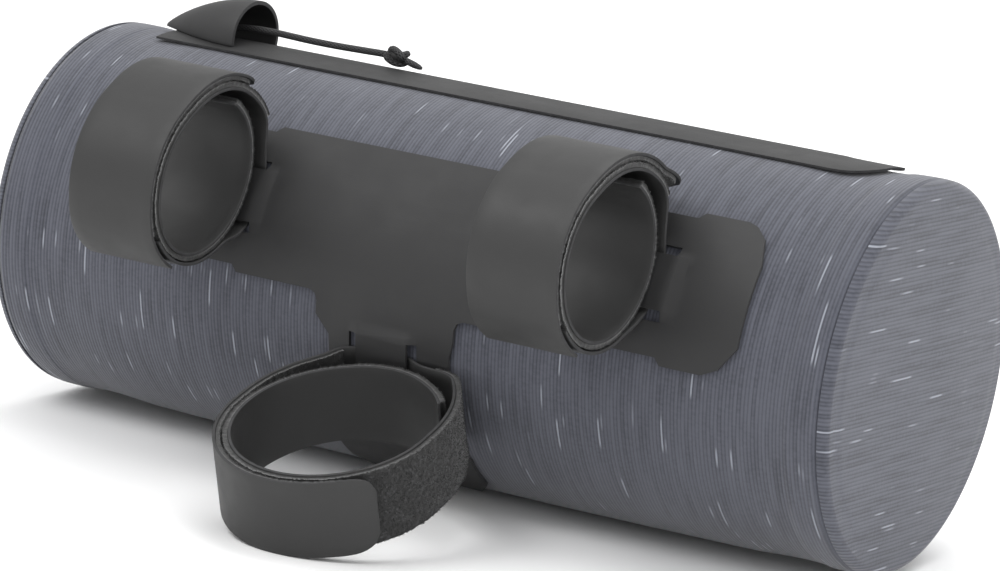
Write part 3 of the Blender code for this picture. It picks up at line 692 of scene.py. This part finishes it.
def right_wing():
    chamfer_x, chamfer_arc = WING_CHAMFER
    notch_from = WING_LENGTH - WING_END_LENGTH - BAR_SLIT_LENGTH + NOTCH_RAMP
    notch_to = WING_LENGTH - WING_END_LENGTH
    low, high = WING_BOTTOM, WING_TOP
    return [
        (TONGUE_HALF_WIDTH + INNER_CORNER, low),
        (notch_from, low),
        (notch_from + NOTCH_RAMP, low + NOTCH_DEPTH),
        (notch_to, low + NOTCH_DEPTH),
        (notch_to + NOTCH_RAMP, low),
        (WING_LENGTH - 1.6 * chamfer_x, low),
        (WING_LENGTH - 0.8 * chamfer_x, low + 0.25 * chamfer_arc),
        (WING_LENGTH, low + chamfer_arc),
        (WING_LENGTH, high - 1.4 * chamfer_arc),
        (WING_LENGTH - 0.4 * chamfer_x, high - 0.5 * chamfer_arc),
        (WING_LENGTH - chamfer_x, high - 0.12 * chamfer_arc),
        (WING_LENGTH - 1.5 * chamfer_x, high),
        (notch_to + NOTCH_RAMP, high),
        (notch_to, high - NOTCH_DEPTH),
        (notch_from + NOTCH_RAMP, high - NOTCH_DEPTH),
        (notch_from, high),
    ]


def tongue_side(half_width, notch):
    chamfer_x, chamfer_arc = WING_CHAMFER
    return [
        (half_width - chamfer_x, TONGUE_BOTTOM),
        (half_width, TONGUE_BOTTOM + chamfer_arc),
        (half_width + 0.5 * MM, TONGUE_NOTCH_BOTTOM - NOTCH_RAMP),
        (half_width - notch, TONGUE_NOTCH_BOTTOM),
        (half_width - notch, TONGUE_NOTCH_TOP - 2 * NOTCH_RAMP),
        (half_width, TONGUE_NOTCH_TOP + NOTCH_RAMP),
        (half_width, WING_BOTTOM - INNER_CORNER),
        (half_width + 0.3 * INNER_CORNER, WING_BOTTOM - 0.3 * INNER_CORNER),
    ]


def panel_outline():
    right = tongue_side(TONGUE_HALF_WIDTH, TONGUE_NOTCH_RIGHT) + right_wing()
    left = tongue_side(TONGUE_HALF_WIDTH, TONGUE_NOTCH_LEFT) + right_wing()
    return right + [(-x, arc) for x, arc in reversed(left)]


def bar_slits(side):
    inner, outer = BAR_SLIT_INNER_X, BAR_SLIT_INNER_X + BAR_SLIT_LENGTH
    low, high = min(side * inner, side * outer), max(side * inner, side * outer)
    half = SLIT_WIDTH / 2
    return [rectangle(low, high, arc - half, arc + half) for arc in (BAR_SLIT_UPPER, BAR_SLIT_LOWER)]


def head_slits():
    half = SLIT_WIDTH / 2
    top, bottom = HEAD_SLIT_TOP, HEAD_SLIT_TOP - HEAD_SLIT_LENGTH
    return [rectangle(x - half, x + half, bottom, top) for x in (-HEAD_SLIT_X, HEAD_SLIT_X)]


def bridge_height(x, arc):
    """How far the panel stands up where a strap passes behind it."""
    edge = BRIDGE_EDGE
    half = SLIT_WIDTH / 2
    bar_low, bar_high = BAR_SLIT_LOWER + half, BAR_SLIT_UPPER - half
    bar_from, bar_to = BAR_SLIT_INNER_X, BAR_SLIT_INNER_X + BAR_SLIT_LENGTH
    on_bar = (
        ramp(abs(x), bar_from - edge, bar_from)
        * ramp(abs(x), bar_to + edge, bar_to)
        * ramp(arc, bar_low - half, bar_low)
        * ramp(arc, bar_high + half, bar_high)
    )
    head_to = HEAD_SLIT_X - half
    on_head = (
        ramp(abs(x), head_to + half, head_to)
        * ramp(arc, HEAD_SLIT_TOP + edge, HEAD_SLIT_TOP)
        * ramp(arc, HEAD_SLIT_TOP - HEAD_SLIT_LENGTH - edge, HEAD_SLIT_TOP - HEAD_SLIT_LENGTH)
    )
    return max(on_bar, on_head) * (STRAP_THICKNESS + GAP)


def build_panel():
    outlines = [panel_outline()] + bar_slits(1) + bar_slits(-1) + head_slits()
    half = SLIT_WIDTH / 2
    bar_from, bar_to = BAR_SLIT_INNER_X, BAR_SLIT_INNER_X + BAR_SLIT_LENGTH
    along = [bar_from - BRIDGE_EDGE, bar_from, bar_to, bar_to + BRIDGE_EDGE]
    along += [-x for x in along]
    along += [-HEAD_SLIT_X + half, HEAD_SLIT_X - half]
    head_low = HEAD_SLIT_TOP - HEAD_SLIT_LENGTH
    around = [BAR_SLIT_LOWER + half, BAR_SLIT_UPPER - half]
    around += [HEAD_SLIT_TOP + BRIDGE_EDGE, HEAD_SLIT_TOP, head_low, head_low - BRIDGE_EDGE]
    panel = wrapped_sheet(
        "panel_laminate_sheet",
        outlines,
        bridge_height,
        PANEL_THICKNESS - 0.1 * MM,
        LAMINATE,
        bends=(along, around),
    )
    finish(panel, "mount_panel", slot="laminate")


def build_zip():
    half = ZIP_WIDTH / 2
    outline = [(ZIP_FROM_X, -half), (ZIP_TO_X - ZIP_CORNER, -half)]
    for degrees in range(10, 91, 10):
        turn = math.radians(degrees)
        outline.append(
            (
                ZIP_TO_X - ZIP_CORNER * (1 - math.sin(turn)),
                -half + ZIP_CORNER * (1 - math.cos(turn)),
            )
        )
    outline += [(x, -arc) for x, arc in reversed(outline)]

    def groove(x, arc):
        """The line where the zip's two coated halves meet."""
        inside = ramp(x, ZIP_FROM_X + 4 * MM, ZIP_FROM_X + 6 * MM)
        inside *= ramp(x, ZIP_TO_X - 14 * MM, ZIP_TO_X - 16 * MM)
        ridge = ZIP_RIDGE * math.exp(-((arc / ZIP_RIDGE_REACH) ** 2))
        return inside * (ridge - ZIP_RIDGE * math.exp(-((arc / ZIP_GROOVE_REACH) ** 2)))

    tape = wrapped_sheet(
        "zip_tape_sheet",
        [outline],
        groove,
        ZIP_THICKNESS - 0.2 * MM,
        LAMINATE,
        angle_at_zero=ZIP_ANGLE,
        bends=((), (-3 * ZIP_GROOVE_REACH, 0.0, 3 * ZIP_GROOVE_REACH)),
    )
    finish(tape, "zip_tape", slot="laminate")


def build_hood():
    base = GAP + ZIP_THICKNESS + 0.1 * MM
    turns = span(0.0, math.pi, math.radians(4.0))
    shares = span(0.03, 1.0, 0.03)
    points = []
    for share in shares:
        x = HOOD_TIP_X + (HOOD_MOUTH_X - HOOD_TIP_X) * share
        rise = math.sin(share * math.pi / 2) ** HOOD_BLUNTNESS
        for turn in turns:
            across = -HOOD_WIDTH / 2 * rise * math.cos(turn)
            height = HOOD_HEIGHT * rise * math.sin(turn)
            points.append(on_barrel(x, ZIP_ANGLE + arc_to_angle(across), base + height))
    faces = lattice(len(shares), len(turns))
    faces.append(tuple(range(len(turns))))
    hood = make("zip_garage_hood", points, faces, HOOD)
    solidify(hood, HOOD_WALL, -1, edge_look=CUT_EDGE)
    soften(hood, 0.3 * MM, 2)
    apply_all(hood)
    finish(hood, "zip_garage", slot="laminate")


# Cord


def smooth_route(points, step):
    """A finer route through the same points."""
    fine = []
    padded = [points[0] * 2 - points[1]] + points + [points[-1] * 2 - points[-2]]
    for i in range(1, len(padded) - 2):
        a, b, c, d = padded[i - 1 : i + 3]
        count = max(1, math.ceil((c - b).length / step))
        for k in range(count):
            t = k / count
            fine.append(
                0.5
                * (
                    b * 2
                    + (c - a) * t
                    + (a * 2 - b * 5 + c * 4 - d) * t * t
                    + (b * 3 - a - c * 3 + d) * t**3
                )
            )
    fine.append(points[-1])
    return fine


def tube(name, route, radius, look, sides=16, taper_end=False):
    """A round tube with capped ends along a route."""
    points, threads, side = [], [], None
    length = 0.0
    for i, place in enumerate(route):
        before, after = route[max(0, i - 1)], route[min(len(route) - 1, i + 1)]
        along = (after - before).normalized()
        if side is None:
            side = along.orthogonal().normalized()
        side = (side - along * side.dot(along)).normalized()
        other = along.cross(side)
        if i:
            length += (place - route[i - 1]).length
        for k in range(sides):
            turn = 2 * math.pi * k / sides
            reach = radius
            if taper_end and i >= len(route) - 2:
                reach *= 0.8 if i == len(route) - 2 else 0.45
            points.append(place + (side * math.cos(turn) + other * math.sin(turn)) * reach)
            threads.append((k / sides, length))
    faces = lattice(len(route), sides, closed=True)
    faces.append(tuple(reversed(range(sides))))
    faces.append(tuple(range((len(route) - 1) * sides, len(route) * sides)))
    return make(name, points, faces, look, threads)


def cord_point(x, height, off_angle):
    return on_barrel(x * MM, ZIP_ANGLE + off_angle, height * MM)


def build_cord():
    route = smooth_route([cord_point(*row) for row in CORD_ROUTE], 1.0 * MM)
    cord = tube("pull_cord_braid", route, CORD_DIAMETER / 2, CORD)
    length = sum((b - a).length for a, b in zip(route, route[1:]))
    finish(cord, "pull_cord", slot="cord")

    last = CORD_ROUTE[-1]
    middle = cord_point(last[0] + KNOT_LENGTH / 2 / MM + GAP / MM, last[1], last[2])
    lean = Matrix.Rotation(math.radians(90.0 - ZIP_ANGLE), 3, "X")
    turns = []
    reach, rise = KNOT_RADIUS - CORD_DIAMETER / 2, KNOT_LENGTH / 2 - CORD_DIAMETER / 2
    for degrees in range(0, 721, 12):
        turn = math.radians(degrees)
        wave = KNOT_WAVES * turn
        swell = 0.62 + 0.38 * math.cos(wave)
        spot = Vector(
            (
                rise * math.sin(wave) * KNOT_SQUEEZE,
                reach * swell * math.cos(turn),
                reach * swell * math.sin(turn) * KNOT_SQUEEZE,
            )
        )
        turns.append(middle + lean @ spot)
    away = Vector((1.0, -0.12, -0.2)).normalized()
    tail = [middle + away * distance * MM for distance in TAIL_STEPS]
    knot = tube("cord_knot_turns", turns, CORD_DIAMETER / 2, CORD, sides=12)
    stub = tube("cord_tail", tail, CORD_DIAMETER / 2, CORD, sides=14, taper_end=True)
    core_shape = bmesh.new()
    bmesh.ops.create_uvsphere(core_shape, u_segments=20, v_segments=12, radius=1.0)
    for point in core_shape.verts:
        point.co = middle + lean @ Vector(
            (point.co.z * rise, point.co.x * reach * KNOT_CORE, point.co.y * reach * KNOT_CORE)
        )
    core_mesh = bpy.data.meshes.new("cord_knot_core")
    core_shape.to_mesh(core_mesh)
    core_shape.free()
    core = finish_mesh("cord_knot_core", core_mesh, CORD)
    finish(knot, "cord_knot", slot="cord")
    finish(stub, slot="cord")
    finish(core, slot="cord")


# Straps


def ring_radius(ring, angle):
    turn = math.radians(angle - ring["long_at"])
    long, short = ring["half_long"], ring["half_short"]
    return long * short / math.hypot(short * math.cos(turn), long * math.sin(turn))


def ring_point(ring, angle, stand_off):
    radius = ring_radius(ring, angle) + stand_off
    turn = math.radians(angle)
    return Vector((ring["p"] + radius * math.sin(turn), ring["q"] + radius * math.cos(turn)))


def second_turn_lift(angle, start):
    share = min(1.0, max(0.0, (start - angle) / (start - LIFT_END)))
    return LIFT * share**1.5 + LIFT_BEYOND * max(0.0, LIFT_END - angle)


def eased(start, leaving, end, arriving, count):
    reach = (end - start).length
    one, two = start + leaving.normalized() * reach * 0.36, end - arriving.normalized() * reach * 0.36
    points = []
    for i in range(1, count):
        t = i / count
        points.append(
            start * (1 - t) ** 3 + one * 3 * t * (1 - t) ** 2 + two * 3 * t * t * (1 - t) + end * t**3
        )
    return points


def even_path(points, step):
    lengths = [0.0]
    for first, second in zip(points, points[1:]):
        lengths.append(lengths[-1] + (second - first).length)
    result, index = [], 0
    for distance in span(0.0, lengths[-1], step):
        while index < len(points) - 2 and lengths[index + 1] < distance:
            index += 1
        share = (distance - lengths[index]) / (lengths[index + 1] - lengths[index])
        result.append(points[index].lerp(points[index + 1], min(1.0, share)))
    return result


def side_path(points, distance):
    moved = []
    for i, point in enumerate(points):
        before, after = points[max(0, i - 1)], points[min(len(points) - 1, i + 1)]
        along = (after - before).normalized()
        moved.append(point + Vector((-along.y, along.x)) * distance)
    return moved


def path_lengths(path):
    lengths = [0.0]
    for first, second in zip(path, path[1:]):
        lengths.append(lengths[-1] + (second - first).length)
    return lengths


def half_width_at(length, whole, width, end_tip):
    if not end_tip:
        return width / 2
    short = 1 - min(1.0, (whole - length) / TIP_LENGTH)
    return width / 2 - TIP_NARROWING * (1 - math.sqrt(max(0.0, 1 - short * short)))


def ribbon(name, path, place, width, thickness, look, end_tip=False):
    """A smooth strap along a flat path of (p, q) points, with softened edges."""
    bays = 8
    lengths = path_lengths(path)
    points = []
    for point, length in zip(path, lengths):
        half = half_width_at(length, lengths[-1], width, end_tip)
        for j in range(bays + 1):
            points.append(place(point.x, point.y, half * (2 * j / bays - 1)))
    piece = make(name, points, lattice(len(path), bays + 1), look)
    solidify(piece, thickness, 0, edge_look=CUT_EDGE)
    soften(piece, 0.2 * MM, 2)
    apply_all(piece)
    return piece


def pile(
    name,
    path,
    place,
    width,
    thickness,
    look,
    outwards,
    end_tip=False,
    loops=True,
    tufts=TUFTS_PER_MM2,
):
    """A strip of pile: a rough slab, and small bent threads standing on its face."""
    random = np.random.default_rng(len(name))
    path = even_path(path, PILE_STEP)
    lengths = path_lengths(path)
    columns = max(4, round(width / PILE_STEP))
    low_points, high_points = [], []
    half_thickness = thickness / 2
    low = side_path(path, -outwards * half_thickness)
    high = side_path(path, outwards * half_thickness)
    for i, length in enumerate(lengths):
        half = half_width_at(length, lengths[-1], width, end_tip)
        for j in range(columns + 1):
            across = half * (2 * j / columns - 1)
            low_points.append(place(low[i].x, low[i].y, across))
            high_points.append(place(high[i].x, high[i].y, across))
    rough = PILE_ROUGHNESS
    count = len(low_points)
    points = []
    for under, over in zip(low_points, high_points):
        up = (over - under).normalized()
        points.append((under, up, 0.0))
    for under, over in zip(low_points, high_points):
        up = (over - under).normalized()
        lump = noise.noise(over * 1400) * 0.6 + noise.noise(over * 500) * 0.5
        points.append((over - up * rough * 1.1, up, lump * rough))
    places = [spot + up * lift for spot, up, lift in points]
    jitter = random.normal(0.0, 0.07 * MM, (count, 3))
    for i in range(count):
        places[count + i] = places[count + i] + Vector(jitter[i])
    rows = len(path)
    width_count = columns + 1
    bottom = [tuple(reversed(face)) for face in lattice(rows, width_count)]
    top = [tuple(index + count for index in face) for face in lattice(rows, width_count)]
    rim = []
    ring = list(range(width_count)) + [i * width_count + columns for i in range(1, rows)]
    ring += [rows * width_count - 1 - j for j in range(1, width_count)]
    ring += [i * width_count for i in range(rows - 2, 0, -1)]
    for first, second in zip(ring, ring[1:] + ring[:1]):
        rim.append((first, second, second + count, first + count))
    faces = bottom + top + rim

    area = lengths[-1] * width / MM**2
    number = int(area * tufts)
    for _ in range(number):
        i = int(random.integers(1, rows - 1))
        j = int(random.integers(0, width_count))
        index = i * width_count + j
        spot = places[count + index]
        up = (high_points[index] - low_points[index]).normalized()
        side = Vector(random.normal(0, 1, 3))
        side = (side - up * side.dot(up)).normalized()
        cross = up.cross(side)
        radius = random.uniform(*TUFT_RADII) * MM
        thread = TUFT_THREAD
        start = len(places)
        bends = (0, 60, 120, 180) if loops else (0, 80, 170)
        for degrees in bends:
            turn = math.radians(degrees)
            rise = radius * TUFT_TALLNESS * math.sin(turn) - TUFT_ROOT
            middle = spot - side * radius * math.cos(turn) + up * rise
            places.append(middle - cross * thread)
            places.append(middle + cross * thread)
        for step in range(len(bends) - 1):
            a = start + 2 * step
            faces.append((a, a + 1, a + 3, a + 2))
    return make(name, places, faces, look, smooth=180.0)


def bar_place(ring):
    def place(p, q, across):
        return Vector((ring["x"] + across, -p, q))

    return place


def barrel_point(x, arc, height):
    spot = on_barrel(x, arc_to_angle(arc), height)
    return Vector((-spot.y, spot.z))


def bar_strap_path(ring):
    half = STRAP_THICKNESS / 2
    path = []
    for angle in span(ring["free_end"], LIFT_END - 360.0, TURN_STEP):
        lift = second_turn_lift(angle + 360.0, BAR_LIFT_START)
        path.append(ring_point(ring, angle, half + lift))
    behind = GAP + half
    above = behind + 2 * PANEL_THICKNESS
    inset, outset = 0.26 * SLIT_WIDTH, 0.48 * SLIT_WIDTH
    x = ring["x"]
    upper = barrel_point(x, BAR_SLIT_UPPER + outset, above)
    upper_turn = barrel_point(x, BAR_SLIT_UPPER - inset, behind)
    root_top = Vector((BAR_ROOT_P, ring["q"] + 6 * MM))
    down = Vector((0.12, -1))
    path += eased(path[-1], path[-1] - path[-2], root_top, down, 14) + [root_top]
    path += eased(root_top, down, upper, upper_turn - upper, 10) + [upper]
    hidden = span(BAR_SLIT_UPPER - inset, BAR_SLIT_LOWER + inset, HIDDEN_STEP)
    path += [barrel_point(x, arc, behind) for arc in hidden]
    lower = barrel_point(x, BAR_SLIT_LOWER - outset, above)
    leaving = lower - path[-1]
    path.append(lower)
    joined = ring_point(ring, BAND_BASE_START, BASE_STAND_OFF)
    arriving = ring_point(ring, BAND_BASE_START - 6.0, BASE_STAND_OFF) - joined
    path += eased(lower, leaving, joined, arriving, 12)
    for angle in span(BAND_BASE_START, BAND_BASE_END, TURN_STEP):
        path.append(ring_point(ring, angle, BASE_STAND_OFF))
    return path


def nearest(path, target):
    return min(range(len(path)), key=lambda i: (path[i] - target).length)


def build_bar_strap(side):
    ring = BAR_RINGS[side]
    place = bar_place(ring)
    name = "handlebar_strap_" + side
    path = bar_strap_path(ring)
    belt = ribbon(name + "_belt", path, place, BAR_STRAP_WIDTH, STRAP_THICKNESS, STRAP)
    finish(belt, name, slot="strap")

    pile_width = BAR_STRAP_WIDTH - 2 * PILE_MARGIN
    root = nearest(path, Vector((BAR_ROOT_P, LOOP_PILE_ROOT_Z)))
    outer = side_path(path, -LOOP_STAND_OFF)
    loops = pile(name + "_loops", outer[1:root], place, pile_width, LOOP_DEPTH, LOOPS, outwards=-1)
    finish(loops, name + "_loop_pile", slot="loop_pile")

    band = []
    for angle in span(BAND_START, ring["band_tip"], TURN_STEP):
        lift = second_turn_lift(angle, BAR_LIFT_START)
        over_base = ramp(angle, BAND_BASE_END - 26.0, BAND_BASE_END - 6.0) * (GAP + 0.3 * MM)
        band.append(ring_point(ring, angle, BAND_STAND_OFF + lift + over_base))
    outer_band = ribbon(
        name + "_outer_band", band, place, BAR_STRAP_WIDTH, STRAP_THICKNESS, STRAP, end_tip=True
    )
    finish(outer_band, name + "_band", slot="strap")

    hooks = side_path(band, HOOK_STAND_OFF)
    first = nearest(hooks, ring_point(ring, BAND_BASE_END - 7.0, BAND_STAND_OFF))
    hook_strip = pile(
        name + "_hooks",
        hooks[first:-1],
        place,
        pile_width,
        HOOK_DEPTH,
        HOOKS,
        outwards=1,
        end_tip=True,
        loops=False,
    )
    finish(hook_strip, name + "_hook_pile", slot="hook_pile")


def head_place(p, q, across):
    """Near the bag the strap follows the barrel, further out it lies in its own tilted plane."""
    middle_arc = HEAD_STRAP_TOP - HEAD_STRAP_WIDTH / 2
    down = across + HEAD_STRAP_WIDTH / 2
    start = on_barrel(0.0, 0.0, GAP)
    flat = Vector(
        (
            q,
            start.y - p * math.cos(HEAD_TILT) + down * math.sin(HEAD_TILT),
            HEAD_STRAP_TOP - p * math.sin(HEAD_TILT) - down * math.cos(HEAD_TILT),
        )
    )
    curved = on_barrel(q, arc_to_angle(middle_arc - across), p)
    return curved.lerp(flat, ramp(p, 2 * MM, HEAD_BLEND))


def outer_band_point(angle):
    loose = HEAD_BAND_LIFT * ramp(angle, 178.0, 245.0)
    return ring_point(HEAD_RING, angle, BAND_STAND_OFF + loose)


def head_strap_path():
    ring = HEAD_RING
    half = STRAP_THICKNESS / 2
    path = []
    for angle in span(ring["free_end"], LIFT_END - 360.0, TURN_STEP):
        lift = second_turn_lift(angle + 360.0, HEAD_LIFT_START)
        path.append(ring_point(ring, angle, half + lift))
    behind = GAP + half
    above = behind + 1.5 * PANEL_THICKNESS
    inset, outset = 0.41 * SLIT_WIDTH, 0.44 * SLIT_WIDTH
    right = Vector((above, HEAD_SLIT_X + outset))
    hidden = HEAD_SLIT_X - inset
    arriving = Vector((behind - above, hidden - right.y))
    path += eased(path[-1], path[-1] - path[-2], right, arriving, 18)
    path.append(right)
    path += [Vector((behind, q)) for q in span(hidden, -hidden, HIDDEN_STEP)]
    left = Vector((above, -right.y))
    path.append(left)
    outer = outer_band_point(HEAD_BAND_START)
    arriving = outer_band_point(HEAD_BAND_START - 5.0) - outer
    path += eased(left, Vector((above - behind, -right.y + hidden)), outer, arriving, 14)
    path += [outer_band_point(angle) for angle in span(HEAD_BAND_START, ring["band_tip"], TURN_STEP)]
    return path


def build_head_strap():
    name = "head_tube_strap"
    path = head_strap_path()
    belt = ribbon(
        name + "_belt", path, head_place, HEAD_STRAP_WIDTH, STRAP_THICKNESS, STRAP, end_tip=True
    )
    finish(belt, name, slot="strap")

    pile_width = HEAD_STRAP_WIDTH - 2 * PILE_MARGIN
    slit = nearest(path, Vector((0, HEAD_SLIT_X)))
    outer = side_path(path, -LOOP_STAND_OFF)
    loops = pile(
        name + "_loops",
        outer[1 : slit - 8],
        head_place,
        pile_width,
        LOOP_DEPTH,
        LOOPS,
        outwards=-1,
        tufts=2 * TUFTS_PER_MM2,
    )
    finish(loops, name + "_loop_pile", slot="loop_pile")

    hooks = side_path(path, HOOK_STAND_OFF)
    other_slit = nearest(path, Vector((0, -HEAD_SLIT_X)))
    hook_strip = pile(
        name + "_hooks",
        hooks[other_slit + 4 : len(path) - 2],
        head_place,
        pile_width,
        HOOK_DEPTH,
        HOOKS,
        outwards=1,
        end_tip=True,
        loops=False,
    )
    finish(hook_strip, name + "_hook_pile", slot="hook_pile")


# Light, floor and camera


def area_light(name, place, size, power, target=(0, 0, 0.06)):
    data = bpy.data.lights.new(name, "AREA")
    data.shape = "RECTANGLE"
    data.size, data.size_y = size
    data.energy = power
    lamp = bpy.data.objects.new(name, data)
    bpy.context.scene.collection.objects.link(lamp)
    lamp.location = place
    lamp.rotation_euler = (Vector(target) - Vector(place)).to_track_quat("-Z", "Y").to_euler()


def build_stage():
    mesh = bpy.data.meshes.new("studio_floor")
    mesh.from_pydata([(-8, -8, 0), (8, -8, 0), (8, 8, 0), (-8, 8, 0)], [], [(0, 1, 2, 3)])
    floor = bpy.data.objects.new("studio_floor", mesh)
    bpy.context.scene.collection.objects.link(floor)
    look = bpy.data.materials.new("studio_white")
    look.use_nodes = True
    shader = look.node_tree.nodes["Principled BSDF"]
    shader.inputs["Base Color"].default_value = (0.93, 0.93, 0.93, 1)
    shader.inputs["Roughness"].default_value = 0.9
    mesh.materials.append(look)

    world = bpy.data.worlds.new("studio")
    world.use_nodes = True
    world.node_tree.nodes["Background"].inputs[0].default_value = (1, 1, 1, 1)
    world.node_tree.nodes["Background"].inputs[1].default_value = 0.95
    bpy.context.scene.world = world
    bpy.context.scene.view_settings.view_transform = "Standard"
    area_light("key", (-0.5, -1.1, 1.5), (1.2, 0.9), 14)
    area_light("top", (0.2, 0.4, 1.6), (1.6, 1.2), 16)
    area_light("side", (1.6, -0.5, 0.7), (0.9, 1.0), 7)


def build_camera():
    yaw, pitch = CAMERA_YAW, CAMERA_PITCH
    level = math.cos(pitch)
    forward = Vector((-math.sin(yaw) * level, math.cos(yaw) * level, -math.sin(pitch)))
    right = Vector((math.cos(yaw), math.sin(yaw), 0))
    up = right.cross(forward)
    place = CAMERA_TARGET - forward * CAMERA_DISTANCE
    view = Matrix.Identity(4)
    for column, direction in enumerate((right, up, -forward, place)):
        for row in range(3):
            view[row][column] = direction[row]
    data = bpy.data.cameras.new("photo_camera")
    data.lens = CAMERA_LENS
    data.sensor_width = 36
    data.clip_end = 50
    camera = bpy.data.objects.new("photo_camera", data)
    bpy.context.scene.collection.objects.link(camera)
    camera.matrix_world = BAG @ view
    bpy.context.scene.camera = camera


build_camera()
build_cord()
build_body()
build_end("left_end_disc", "end_panel_left", -1)
build_end("right_end_disc", "end_panel_right", 1)
build_zip()
build_hood()
build_panel()
build_bar_strap("left")
build_bar_strap("right")
build_head_strap()
build_stage()
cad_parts["zip_slider"].material_slots[0].material = SLIDER
